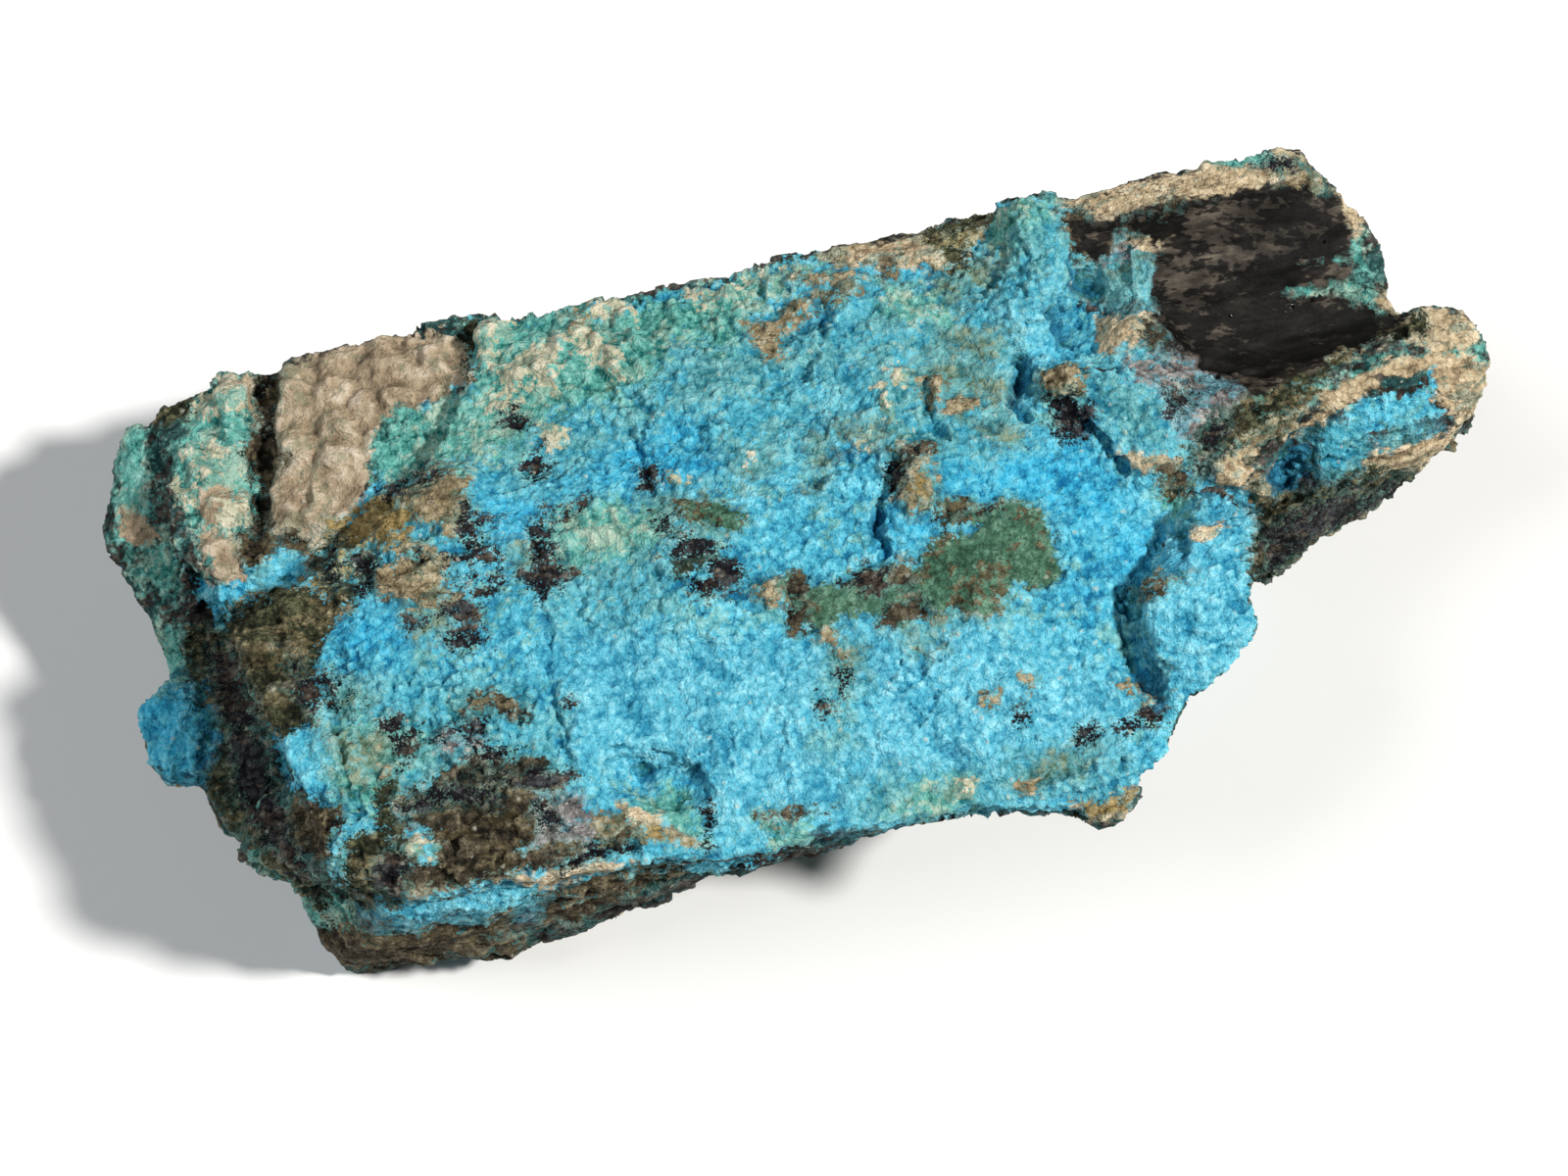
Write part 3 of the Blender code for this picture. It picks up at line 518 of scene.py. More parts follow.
# The size in millimetres of each form of roughness. A form's place here is also its seed.
FORMS = {
    "swell": 3.2, "knobs": 1.55, "clods": 1.25, "crumbs": 0.56, "grit": 0.31, "slabs": 3.0, "chips": 1.2,
    "streaks": 0.55, "pits": 1.4, "flakes": 4.2, "fissures": 2.3,
}
# The large forms are moved into the mesh before the small ones
COARSE_FORMS = ("swell", "knobs", "slabs", "clods", "chips", "pits", "flakes", "fissures")
FINE_FORMS = ("streaks", "crumbs", "grit")
# The height in millimetres of every form of roughness on each kind
ROUGHNESS = {
    "wall": {"swell": 0.12, "slabs": 0.40, "chips": 0.22, "crumbs": 0.10, "grit": 0.07, "streaks": 0.05},
    "crust": {"swell": 0.18, "clods": 0.15, "crumbs": 0.25, "grit": 0.18, "pits": 0.28, "flakes": 0.11,
              "fissures": 0.16},
    "teal": {"swell": 0.12, "clods": 0.36, "crumbs": 0.22, "grit": 0.13, "pits": 0.20, "flakes": 0.06},
    "beige": {"knobs": 0.52, "clods": 0.18, "crumbs": 0.09, "grit": 0.05},
    "cream": {"swell": 0.10, "clods": 0.12, "crumbs": 0.12, "grit": 0.08, "streaks": 0.18, "chips": 0.08},
    "tan": {"clods": 0.18, "chips": 0.18, "crumbs": 0.16, "grit": 0.12, "flakes": 0.06},
    "ochre": {"clods": 0.20, "chips": 0.20, "crumbs": 0.14, "grit": 0.10},
    "nodule": {"clods": 0.42, "crumbs": 0.18, "grit": 0.06},
    "green": {"clods": 0.14, "crumbs": 0.18, "grit": 0.15, "flakes": 0.06},
    "marble": {"clods": 0.10, "chips": 0.24, "crumbs": 0.12, "grit": 0.08, "flakes": 0.10, "fissures": 0.15},
    "olive": {"clods": 0.34, "chips": 0.26, "crumbs": 0.18, "grit": 0.12},
    "brown": {"clods": 0.18, "chips": 0.32, "crumbs": 0.16, "grit": 0.12, "pits": 0.15, "flakes": 0.10},
    "slick": {"swell": 0.06, "streaks": 0.10, "chips": 0.05, "grit": 0.015},
    "black": {"crumbs": 0.18, "grit": 0.16},
    "deep_shade": {"clods": 0.18, "crumbs": 0.18, "grit": 0.12},
}
KINDS = list(ROUGHNESS)
LEAST_SHARE = 0.004

# Roughness is stronger in some places: its middle strength, its swing, its least and the size of a place
VIGOUR_MIDDLE = 0.85
VIGOUR_SWING = 0.6
VIGOUR_LEAST = 0.3
VIGOUR_SIZE = 4.5

# Streaks run along the tail, which the slickenside follows closely
STREAK_ALONG = Vector((0.93, -0.02, 0.10)).normalized()
STREAK_LENGTH = 9.0

# Cells that clods, chips, pits and fissures are made from: how near its border a cell's seed may lie
CELL_MARGIN = 0.1
# Clods: the lowest one, the height in a crease, a crease's width, the rounding and how far it reaches
CLOD_LOWEST = 0.35
CREASE_LEVEL = 0.25
CREASE_WIDTH = 0.45
CLOD_ROUNDING = 0.45
CLOD_REACH = 1.2
CLOD_MIDDLE = 0.5
# Chips: how much one stands above the next
CHIP_RISE = 0.5
# Pits: the share of cells that have none, and the radius as a share of a cell
PITLESS = 0.76
PIT_RADIUS = 0.42
# Flakes: how many steps, and how wide the edge of a step is
FLAKE_STEPS = 3.0
FLAKE_EDGE = 0.12
# Fissures: how far and over what length they bend, their width, and where they are
FISSURE_BEND = 0.25
FISSURE_BEND_SIZE = 0.9
FISSURE_WIDTH = 0.07
FISSURE_SPREAD = 2.0
FISSURE_CONTRAST = 3.0
FISSURE_LEVEL = 0.4

# How crooked the cracks are, over what length, and how many half widths out they are worked out
CRACK_WANDER = 0.25
CRACK_WANDER_SIZE = 0.9
CRACK_REACH = 3
# How uneven the lumps' outlines are, over what length, and how steep their sides are
LUMP_UNEVEN = 0.75
LUMP_WANDER = 0.9
LUMP_STEEPNESS = 1.15

# Rounds of smoothing: of the remade surface, its normals before and after the coarse forms, the steps
# between kinds, and the surface that the relief is measured from
SURFACE_ROUNDS = 6
NORMAL_ROUNDS = 8
LATER_NORMAL_ROUNDS = 1
STEP_ROUNDS = 2
RELIEF_ROUNDS = 14

# How common each kind is on the faces that the photograph doesn't show
HIDDEN_SHARE = {
    "crust": 0.10, "teal": 0.22, "beige": 0.12, "cream": 0.22, "tan": 0.26, "nodule": 0.04,
    "green": 0.14, "olive": 0.26, "brown": 0.32, "black": 0.14, "ochre": 0.12, "marble": 0.34,
    "azure": 0.08, "powder": 0.02, "aqua": 0.14, "moss": 0.24,
}
HIDDEN_PATCH = 5.5
HIDDEN_LEVEL = 0.62
HIDDEN_SLOPE = 0.6

# Where the surface counts as seen by the camera: how squarely it faces it
SEEN_FACING = (-0.05, 0.12)
# Farther than this from a patch, its field doesn't change
FAR_OUTSIDE = 2.0
# Ragged borders: how far the edge of a patch wanders, and over what length
RAGGED = [(0.34, 1.5), (0.20, 0.55)]
# Width of the slope at the border of a patch
BORDER = 0.35
# The rock's flat underside and what is just above it stay as the solid has them
BASE_CALM = (0.05, 1.2)

# Seeds of the noises, each the same in every run
HIDDEN_SEED = 200
BORDER_SEED = 300
BORDER_LAYER_SEED = 20
VIGOUR_SEED = 401
CRACK_SEED = 61
LUMP_SEED = 71
LAYER_SEED = 11
CLOD_SEED = 71
CHIP_TILT_SEED = 31
CHIP_RISE_SEED = 41
PIT_SEED = 91
FISSURE_SEED = 7
# What brings the soft noise, and the layers of it, to about -1 to 1
SOFT_NOISE_SCALE = 1.6
LAYERED_NOISE_SCALE = 1.5

# Noise is worked out for this many points at a time, in so many threads
PART_SIZE = 8000
WORKERS = 4


def to_pixels(points):
    """Where points in millimetres fall in the photograph's frame."""
    away = points - np.array(EYE)
    depth = -(away @ np.array(BACK))
    across = PHOTO_WIDTH / 2 + FOCAL_PIXELS * (away @ np.array(RIGHT)) / depth
    down = PHOTO_HEIGHT / 2 - FOCAL_PIXELS * (away @ np.array(UP)) / depth
    return np.stack([across, down], axis=1)


def corners_of(outline):
    return [tuple(float(number) for number in corner.split(",")) for corner in outline.split()]


def line_distance(pixels, line, closed):
    """Distance in pixels to a line of points, and whether each pixel is inside it."""
    nearest = np.full(len(pixels), np.inf)
    inside = np.zeros(len(pixels), bool)
    px, py = pixels[:, 0], pixels[:, 1]
    ends = line[1:] + line[:1] if closed else line[1:]
    for (ax, ay), (bx, by) in zip(line, ends):
        ex, ey = bx - ax, by - ay
        share = np.clip(((px - ax) * ex + (py - ay) * ey) / (ex * ex + ey * ey), 0.0, 1.0)
        nearest = np.minimum(nearest, np.hypot(px - ax - share * ex, py - ay - share * ey))
        if closed and ey != 0:
            crosses = (ay > py) != (by > py)
            inside ^= crosses & (px < ax + (py - ay) * ex / ey)
    return nearest, inside


def near_line(pixels, line, margin):
    """Which pixels are within the margin of the line's box."""
    xs, ys = [p[0] for p in line], [p[1] for p in line]
    return (
        (pixels[:, 0] > min(xs) - margin) & (pixels[:, 0] < max(xs) + margin)
        & (pixels[:, 1] > min(ys) - margin) & (pixels[:, 1] < max(ys) + margin)
    )


def inside_by(pixels, outlines):
    """How far inside the outlines each pixel is, in millimetres: negative outside."""
    best = np.full(len(pixels), -FAR_OUTSIDE)
    margin = FAR_OUTSIDE / MM_PER_PIXEL
    for outline in map(corners_of, outlines):
        near = np.nonzero(near_line(pixels, outline, margin))[0]
        distance, inside = line_distance(pixels[near], outline, True)
        signed = np.where(inside, distance, -distance) * MM_PER_PIXEL
        best[near] = np.maximum(best[near], signed)
    return best


def smooth_step(value):
    value = np.clip(value, 0.0, 1.0)
    return value * value * (3.0 - 2.0 * value)


def in_parts(function, points):
    """The function's values for all points, worked out in small parts side by side."""
    parts = np.array_split(points, max(1, len(points) // PART_SIZE))
    with ThreadPoolExecutor(WORKERS) as pool:
        return np.concatenate(list(pool.map(function, parts)))


def scramble(cell, seed):
    """A random whole number for every lattice cell, the same in every run."""
    value = cell[:, 0] * np.uint32(0x8DA6B343)
    value ^= cell[:, 1] * np.uint32(0xD8163841)
    value ^= cell[:, 2] * np.uint32(0xCB1AB31F)
    value ^= np.uint32((seed * 0x9E3779B1) & 0xFFFFFFFF)
    value ^= value >> np.uint32(15)
    value *= np.uint32(0x2C1B3C6D)
    value ^= value >> np.uint32(12)
    value *= np.uint32(0x297A2D39)
    value ^= value >> np.uint32(15)
    return value


def three_shares(number):
    """Three separate numbers from 0 to 1 for every random whole number."""
    return [((number >> np.uint32(shift)) & np.uint32(1023)) / 1023.0 for shift in (0, 10, 20)]


def one_share(cell, seed):
    return three_shares(scramble(cell, seed))[0]


def soft_noise(points, size, seed):
    """Gradient noise of that feature size, about -1 to 1."""
    place = points / size
    floor = np.floor(place)
    part = place - floor
    cell = floor.astype(np.int64).astype(np.uint32)
    ease = part * part * part * (part * (part * 6.0 - 15.0) + 10.0)
    total = np.zeros(len(points))
    for corner in np.ndindex(2, 2, 2):
        weight = 1.0
        slope = three_shares(scramble(cell + np.array(corner, np.uint32), seed))
        height = 0.0
        for axis in range(3):
            weight = weight * (ease[:, axis] if corner[axis] else 1.0 - ease[:, axis])
            height = height + (slope[axis] * 2.0 - 1.0) * (part[:, axis] - corner[axis])
        total += weight * height
    return total * SOFT_NOISE_SCALE


def layered_noise(points, size, seed, layers=3):
    """Soft noise with finer layers on it, each half the size and half the height of the one before."""
    total = np.zeros(len(points))
    for layer in range(layers):
        total += soft_noise(points, size / 2 ** layer, seed + LAYER_SEED * layer) / 2 ** layer
    return total / LAYERED_NOISE_SCALE


def nearest_seeds(points, size, seed):
    """Distance to the two nearest seeds of a jittered lattice, and the nearest one's cell and offset."""
    place = points / size
    floor = np.floor(place)
    base = floor.astype(np.int64).astype(np.uint32)
    part = place - floor
    first = np.full(len(points), np.inf)
    second = np.full(len(points), np.inf)
    nearest_cell = base.copy()
    nearest_gap = np.zeros_like(place)
    for offset in np.ndindex(3, 3, 3):
        shift = np.array(offset) - 1
        cell = base + shift.astype(np.uint32)
        jitter = np.stack(three_shares(scramble(cell, seed)), axis=1)
        gap = part - shift - CELL_MARGIN - (1.0 - 2.0 * CELL_MARGIN) * jitter
        distance = np.sqrt(np.sum(gap * gap, axis=1))
        closer = distance < first
        second = np.where(closer, first, np.minimum(second, distance))
        first = np.where(closer, distance, first)
        nearest_cell[closer] = cell[closer]
        nearest_gap[closer] = gap[closer]
    return first, second, nearest_cell, nearest_gap


def clods(points, size, seed):
    """Rounded clods of random height, from 0 to 1, with creases between them."""
    first, second, cell, _ = nearest_seeds(points, size, seed)
    height = CLOD_LOWEST + (1.0 - CLOD_LOWEST) * one_share(cell, seed + CLOD_SEED)
    crease = smooth_step((second - first) / CREASE_WIDTH)
    dome = 1.0 - CLOD_ROUNDING * np.minimum(first, CLOD_REACH) ** 2
    return height * (CREASE_LEVEL + (1.0 - CREASE_LEVEL) * crease) * dome


def chips(points, size, seed):
    """Flat-faced chips: every cell is a plane with a tilt of its own."""
    _, _, cell, gap = nearest_seeds(points, size, seed)
    tilt = np.stack(three_shares(scramble(cell, seed + CHIP_TILT_SEED)), axis=1) * 2 - 1
    return np.sum(tilt * gap, axis=1) + CHIP_RISE * (one_share(cell, seed + CHIP_RISE_SEED) - 0.5)


def pits(points, size, seed):
    """Small pits, 0 on the surface and -1 at the bottom, in about one cell of four."""
    first, _, cell, _ = nearest_seeds(points, size, seed)
    there = one_share(cell, seed + PIT_SEED) > PITLESS
    return np.where(there, -smooth_step(1.0 - first / PIT_RADIUS), 0.0)


def streaks(points, size, seed):
    """Noise drawn out along the tail."""
    along = np.array(STREAK_ALONG)
    share = points @ along
    drawn = points - np.outer(share, along) * (1.0 - size / STREAK_LENGTH)
    return layered_noise(drawn, size, seed)


def flakes(points, size, seed):
    """Low steps with crisp edges, as where one layer of crust ends on another."""
    height = layered_noise(points, size, seed) * FLAKE_STEPS
    level = np.floor(height)
    return level + smooth_step((height - level - 0.5) / FLAKE_EDGE + 0.5)


def fissures(points, size, seed):
    """Narrow crooked cracks between large cells, in some places only."""
    bends = [soft_noise(points, FISSURE_BEND_SIZE, seed + axis) for axis in (1, 2, 3)]
    first, second, _, _ = nearest_seeds(points + FISSURE_BEND * np.stack(bends, axis=1), size, seed)
    places = soft_noise(points, FISSURE_SPREAD * size, seed + FISSURE_SEED)
    there = smooth_step(places * FISSURE_CONTRAST + FISSURE_LEVEL)
    return -there * smooth_step(1.0 - (second - first) / FISSURE_WIDTH)


# Forms with a function of their own. The others are clods, apart from the swell.
FORM_SHAPES = {
    "slabs": chips, "chips": chips, "pits": pits, "streaks": streaks, "flakes": flakes,
    "fissures": fissures,
}


def form_height(form, points):
    """The height of one form of roughness at every point, before a kind's own height scales it."""
    size = FORMS[form]
    seed = list(FORMS).index(form) + 1
    if form == "swell":
        return layered_noise(points, size, seed, 2)
    if form in FORM_SHAPES:
        return FORM_SHAPES[form](points, size, seed)
    return clods(points, size, seed) - CLOD_MIDDLE


def kind_fields(points, facing):
    """How far inside a patch of each kind every point is, in millimetres."""
    pixels = to_pixels(points)
    seen = smooth_step((facing - SEEN_FACING[0]) / (SEEN_FACING[1] - SEEN_FACING[0]))
    fields = {}
    for number, kind in enumerate(PATCHES):
        drawn = inside_by(pixels, PATCHES[kind].values())
        hidden = in_parts(lambda part: layered_noise(part, HIDDEN_PATCH, HIDDEN_SEED + number), points)
        hidden = (hidden - HIDDEN_LEVEL + HIDDEN_SHARE.get(kind, 0.0)) * HIDDEN_PATCH * HIDDEN_SLOPE
        field = seen * drawn + (1.0 - seen) * np.clip(hidden, -FAR_OUTSIDE, FAR_OUTSIDE)
        for layer, (height, size) in enumerate(RAGGED):
            seed = BORDER_SEED + number + BORDER_LAYER_SEED * layer
            field += height * in_parts(lambda part: soft_noise(part, size, seed), points)
        fields[kind] = field
    return fields


def kind_weights(fields):
    """The share of each kind at every point. They add up to 1, and later kinds cover earlier ones."""
    size = len(next(iter(fields.values())))
    left = np.ones(size)
    weights = {}
    for kind in reversed(KINDS):
        cover = smooth_step(0.5 + fields[kind] / BORDER) if kind in fields else np.ones(size)
        weights[kind] = left * cover
        left = left * (1.0 - cover)
    return weights


def fine_copy(node):
    """A mesh of the solid with small even faces, in millimetres."""
    mesh = node.data.copy()
    mesh.transform(Matrix.Scale(1.0 / MM, 4))
    holder = bpy.data.objects.new("fine", mesh)
    bpy.context.scene.collection.objects.link(holder)
    remesh = holder.modifiers.new("remesh", "REMESH")
    remesh.mode = "VOXEL"
    remesh.voxel_size = VOXEL
    fine = bpy.data.meshes.new_from_object(holder.evaluated_get(bpy.context.evaluated_depsgraph_get()))
    bpy.data.objects.remove(holder)
    return fine


def read(mesh, what):
    values = np.zeros(len(mesh.vertices) * 3, np.float32)
    mesh.vertices.foreach_get(what, values)
    return values.reshape(-1, 3).astype(np.float64)


def write(mesh, points):
    mesh.vertices.foreach_set("co", points.astype(np.float32).ravel())
    mesh.update()


def mesh_edges(mesh):
    ends = np.zeros(len(mesh.edges) * 2, np.int32)
    mesh.edges.foreach_get("vertices", ends)
    return ends.reshape(-1, 2)


def smoothed(values, edges, rounds):
    """Each point's values averaged with its neighbours', so many rounds over."""
    count = np.bincount(edges.ravel(), minlength=len(values))[:, None]
    for _ in range(rounds):
        total = np.zeros_like(values)
        for axis in range(values.shape[1]):
            total[:, axis] = np.bincount(edges[:, 0], values[edges[:, 1], axis], len(values))
            total[:, axis] += np.bincount(edges[:, 1], values[edges[:, 0], axis], len(values))
        values = 0.5 * values + 0.5 * total / count
    return values


def calm_near_base(points):
    """0 on the underside, and 1 from a little above it."""
    return smooth_step((points[:, 2] - BASE_CALM[0]) / (BASE_CALM[1] - BASE_CALM[0]))


def crack_depth(points, pixels):
    """How deep the cracks cut at every point."""
    depth = np.zeros(len(points))
    for outline, half_width, deepest in CRACKS.values():
        line = corners_of(outline)
        near = np.nonzero(near_line(pixels, line, half_width * CRACK_REACH / MM_PER_PIXEL))[0]
        distance, _ = line_distance(pixels[near], line, False)
        wander = CRACK_WANDER * soft_noise(points[near], CRACK_WANDER_SIZE, CRACK_SEED)
        across = np.abs(distance * MM_PER_PIXEL + wander) / half_width
        depth[near] += deepest * smooth_step(1.0 - across)
    return depth


def lump_height(points, pixels):
    """The height of the lumps and pits at every point. Their outlines are uneven."""
    bend = in_parts(lambda part: layered_noise(part, LUMP_WANDER, LUMP_SEED), points)
    uneven = 1.0 + LUMP_UNEVEN * bend
    height = np.zeros(len(pixels))
    for across, down, radius, top in chain.from_iterable(LUMPS.values()):
        away = np.hypot(pixels[:, 0] - across, pixels[:, 1] - down) / radius * uneven
        height += top * smooth_step(LUMP_STEEPNESS * (1.0 - away))
    return height


def roughness_height(forms, points, weights):
    """The height of those forms at every point, each only where a kind has it."""
    swing = in_parts(lambda part: soft_noise(part, VIGOUR_SIZE, VIGOUR_SEED), points)
    vigour = VIGOUR_MIDDLE + VIGOUR_SWING * swing
    total = np.zeros(len(points))
    for form in forms:
        share = sum(weights[kind] * ROUGHNESS[kind].get(form, 0.0) for kind in KINDS)
        there = np.nonzero(share > LEAST_SHARE)[0]
        share = share * np.maximum(vigour, VIGOUR_LEAST)
        total[there] += share[there] * in_parts(lambda part: form_height(form, part), points[there])
    return total


def add_relief(mesh):
    """Moves the patches, cracks and roughness into the mesh, the large forms first."""
    edges = mesh_edges(mesh)
    points = smoothed(read(mesh, "co"), edges, SURFACE_ROUNDS)
    write(mesh, points)
    normals = smoothed(read(mesh, "normal"), edges, NORMAL_ROUNDS)
    facing = normals @ np.array(BACK)
    fields = kind_fields(points, facing)
    weights = kind_weights(fields)
    calm = calm_near_base(points)

    steps = sum(height * weights[kind] for kind, height in STEP.items())
    move = smoothed(steps[:, None], edges, STEP_ROUNDS)[:, 0]
    pixels = to_pixels(points)
    seen = smooth_step(facing / SEEN_FACING[1])
    move += seen * (lump_height(points, pixels) - crack_depth(points, pixels))
    for forms in (COARSE_FORMS, FINE_FORMS):
        move = move + roughness_height(forms, points, weights)
        points = points + normals * (move * calm)[:, None]
        write(mesh, points)
        normals = smoothed(read(mesh, "normal"), edges, LATER_NORMAL_ROUNDS)
        move = np.zeros(len(points))
    low, high = [np.array(corner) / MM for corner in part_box(NODE)]
    points = np.clip(points, low, high)
    write(mesh, points)
    hollow = np.sum((points - smoothed(points, edges, RELIEF_ROUNDS)) * normals, axis=1)
    return fields | {"relief": hollow}


def cut_into_lengths(mesh, fields):
    """Pieces of the surface from one end to the other, shaded as one."""
    points = read(mesh, "co") * MM
    normals = read(mesh, "normal")
    corners = np.zeros(len(mesh.polygons) * FACE_CORNERS, np.int32)
    mesh.polygons.foreach_get("vertices", corners)
    corners = corners.reshape(-1, FACE_CORNERS)
    middles = points[corners[:, 0], 0]
    cuts = np.quantile(middles, np.linspace(0.0, 1.0, LENGTHS + 1)[1:-1])
    numbers = np.searchsorted(cuts, middles)
    pieces = []
    for number in range(LENGTHS):
        own = corners[numbers == number]
        used, own = np.unique(own, return_inverse=True)
        piece = bpy.data.meshes.new(f"decrespignyite_length_{number + 1}")
        piece.vertices.add(len(used))
        piece.vertices.foreach_set("co", points[used].astype(np.float32).ravel())
        piece.loops.add(own.size)
        piece.loops.foreach_set("vertex_index", own.astype(np.int32).ravel())
        piece.polygons.add(own.size // FACE_CORNERS)
        starts = np.arange(0, own.size, FACE_CORNERS, dtype=np.int32)
        piece.polygons.foreach_set("loop_start", starts)
        piece.update(calc_edges=True)
        piece.shade_smooth()
        piece.normals_split_custom_set_from_vertices(normals[used].tolist())
        for name, values in fields.items():
            attribute = piece.attributes.new(name, "FLOAT", "POINT")
            attribute.data.foreach_set("value", values[used].astype(np.float32))
        pieces.append(piece)
    return pieces


# What each kind looks like. The colours are its darkest, middle and lightest, in linear light; a second
# set is mixed in over the given share of it; veins are thin lines of a colour of their own.
MINERALS = {
    "wall": {
        "colours": ((0.008, 0.007, 0.006), (0.038, 0.034, 0.030), (0.14, 0.120, 0.102)),
        "second": ((0.005, 0.024, 0.023), (0.022, 0.072, 0.070), (0.09, 0.19, 0.180)),
        "share": 0.38, "veins": (0.012, 0.010, 0.009),
    },
    "crust": {
        "colours": ((0.010, 0.16, 0.30), (0.078, 0.44, 0.59), (0.24, 0.70, 0.83)),
        "second": ((0.030, 0.22, 0.27), (0.150, 0.44, 0.455), (0.31, 0.62, 0.60)), "share": 0.32,
    },
    "powder": {
        "colours": ((0.028, 0.25, 0.39), (0.135, 0.52, 0.66), (0.33, 0.76, 0.87)),
        "second": ((0.015, 0.20, 0.34), (0.085, 0.43, 0.58), (0.20, 0.62, 0.75)), "share": 0.35,
    },
    "azure": {
        "colours": ((0.005, 0.14, 0.31), (0.040, 0.41, 0.63), (0.14, 0.62, 0.82)),
        "second": ((0.010, 0.17, 0.32), (0.075, 0.45, 0.62), (0.18, 0.65, 0.82)), "share": 0.40,
    },
    "aqua": {
        "colours": ((0.020, 0.17, 0.21), (0.125, 0.39, 0.42), (0.26, 0.58, 0.59)),
        "second": ((0.012, 0.19, 0.30), (0.080, 0.41, 0.53), (0.19, 0.60, 0.70)), "share": 0.42,
    },
    "teal": {
        "colours": ((0.012, 0.125, 0.113), (0.120, 0.40, 0.345), (0.30, 0.60, 0.52)),
        "second": ((0.09, 0.22, 0.18), (0.27, 0.45, 0.36), (0.50, 0.62, 0.49)), "share": 0.34,
    },
    "moss": {
        "colours": ((0.045, 0.085, 0.050), (0.155, 0.230, 0.155), (0.30, 0.38, 0.27)),
        "second": ((0.030, 0.15, 0.155), (0.130, 0.34, 0.33), (0.26, 0.50, 0.47)), "share": 0.45,
    },
    "beige": {
        "colours": ((0.15, 0.110, 0.070), (0.42, 0.325, 0.215), (0.68, 0.58, 0.45)),
        "second": ((0.12, 0.105, 0.065), (0.30, 0.27, 0.175), (0.48, 0.43, 0.31)), "share": 0.35,
    },
    "cream": {
        "colours": ((0.16, 0.118, 0.068), (0.49, 0.382, 0.235), (0.78, 0.65, 0.45)),
        "second": ((0.09, 0.105, 0.070), (0.28, 0.285, 0.200), (0.46, 0.48, 0.36)), "share": 0.26,
        "veins": (0.060, 0.045, 0.030),
    },
    "tan": {
        "colours": ((0.070, 0.053, 0.028), (0.262, 0.208, 0.118), (0.50, 0.42, 0.27)),
        "second": ((0.045, 0.060, 0.040), (0.155, 0.175, 0.115), (0.31, 0.34, 0.235)), "share": 0.30,
        "veins": (0.022, 0.018, 0.014),
    },
    "ochre": {
        "colours": ((0.085, 0.058, 0.020), (0.290, 0.210, 0.080), (0.50, 0.385, 0.175)),
        "second": ((0.045, 0.038, 0.016), (0.155, 0.130, 0.056), (0.31, 0.265, 0.135)), "share": 0.28,
        "veins": (0.010, 0.008, 0.005),
    },
    "nodule": {
        "colours": ((0.17, 0.24, 0.175), (0.49, 0.48, 0.335), (0.74, 0.68, 0.52)),
        "second": ((0.06, 0.20, 0.165), (0.18, 0.38, 0.31), (0.36, 0.53, 0.43)), "share": 0.35,
    },
    "green": {
        "colours": ((0.020, 0.055, 0.034), (0.066, 0.165, 0.105), (0.17, 0.32, 0.225)),
        "second": ((0.025, 0.022, 0.012), (0.095, 0.088, 0.050), (0.22, 0.20, 0.125)), "share": 0.36,
        "veins": (0.025, 0.030, 0.018),
    },
    "marble": {
        "colours": ((0.045, 0.040, 0.038), (0.200, 0.186, 0.178), (0.42, 0.41, 0.39)),
        "second": ((0.030, 0.100, 0.120), (0.130, 0.280, 0.330), (0.30, 0.50, 0.55)), "share": 0.48,
        "veins": (0.014, 0.012, 0.014),
    },
    "olive": {
        "colours": ((0.004, 0.005, 0.003), (0.034, 0.038, 0.020), (0.15, 0.150, 0.080)),
        "second": ((0.020, 0.017, 0.008), (0.120, 0.100, 0.053), (0.31, 0.265, 0.155)), "share": 0.34,
        "veins": (0.005, 0.005, 0.004),
    },
    "brown": {
        "colours": ((0.008, 0.007, 0.005), (0.058, 0.047, 0.030), (0.19, 0.160, 0.108)),
        "second": ((0.035, 0.028, 0.014), (0.125, 0.102, 0.058), (0.26, 0.22, 0.135)), "share": 0.36,
        "veins": (0.005, 0.004, 0.004),
    },
    "slick": {
        "colours": ((0.001, 0.001, 0.001), (0.004, 0.0035, 0.003), (0.024, 0.020, 0.016)),
        "second": ((0.005, 0.0045, 0.004), (0.036, 0.030, 0.023), (0.15, 0.125, 0.096)), "share": 0.30,
    },
    "black": {
        "colours": ((0.003, 0.002, 0.004), (0.012, 0.011, 0.014), (0.07, 0.075, 0.078)),
        "second": ((0.016, 0.011, 0.009), (0.060, 0.046, 0.036), (0.20, 0.175, 0.145)), "share": 0.30,
    },
    # Painted shade: the dark blue of the pockets, grooves and steps
    "deep_shade": {
        "colours": ((0.004, 0.060, 0.120), (0.025, 0.190, 0.310), (0.09, 0.37, 0.52)),
        "second": ((0.006, 0.080, 0.100), (0.035, 0.200, 0.225), (0.12, 0.37, 0.39)), "share": 0.4,
    },
}
# How soft the border of each kind is, and how far the fine mottling breaks it up, in millimetres
SOFTNESS = {
    "powder": 2.2, "azure": 1.6, "aqua": 1.6, "moss": 1.3, "teal": 0.8, "deep_shade": 0.5, "cream": 0.25,
    "slick": 0.3, "beige": 0.25, "marble": 0.3, "black": 0.22, "brown": 0.20, "olive": 0.18,
}
CRISP = 0.10
BREAKUP = {
    "crust": 0.8, "powder": 1.8, "azure": 2.2, "aqua": 2.4, "teal": 2.2, "moss": 2.2, "beige": 0.9,
    "cream": 0.9, "tan": 1.0, "ochre": 1.0, "nodule": 1.4, "green": 1.0, "marble": 1.3, "olive": 1.3,
    "brown": 1.1, "slick": 0.8, "black": 1.4, "deep_shade": 1.2,
}
# Sizes of the mottling in millimetres: broad, middle and fine
MOTTLE = {"broad": 2.4, "middle": 0.75, "fine": 0.24}
MOTTLE_WEIGHT = {"broad": 1.0, "middle": 0.9, "fine": 0.5}
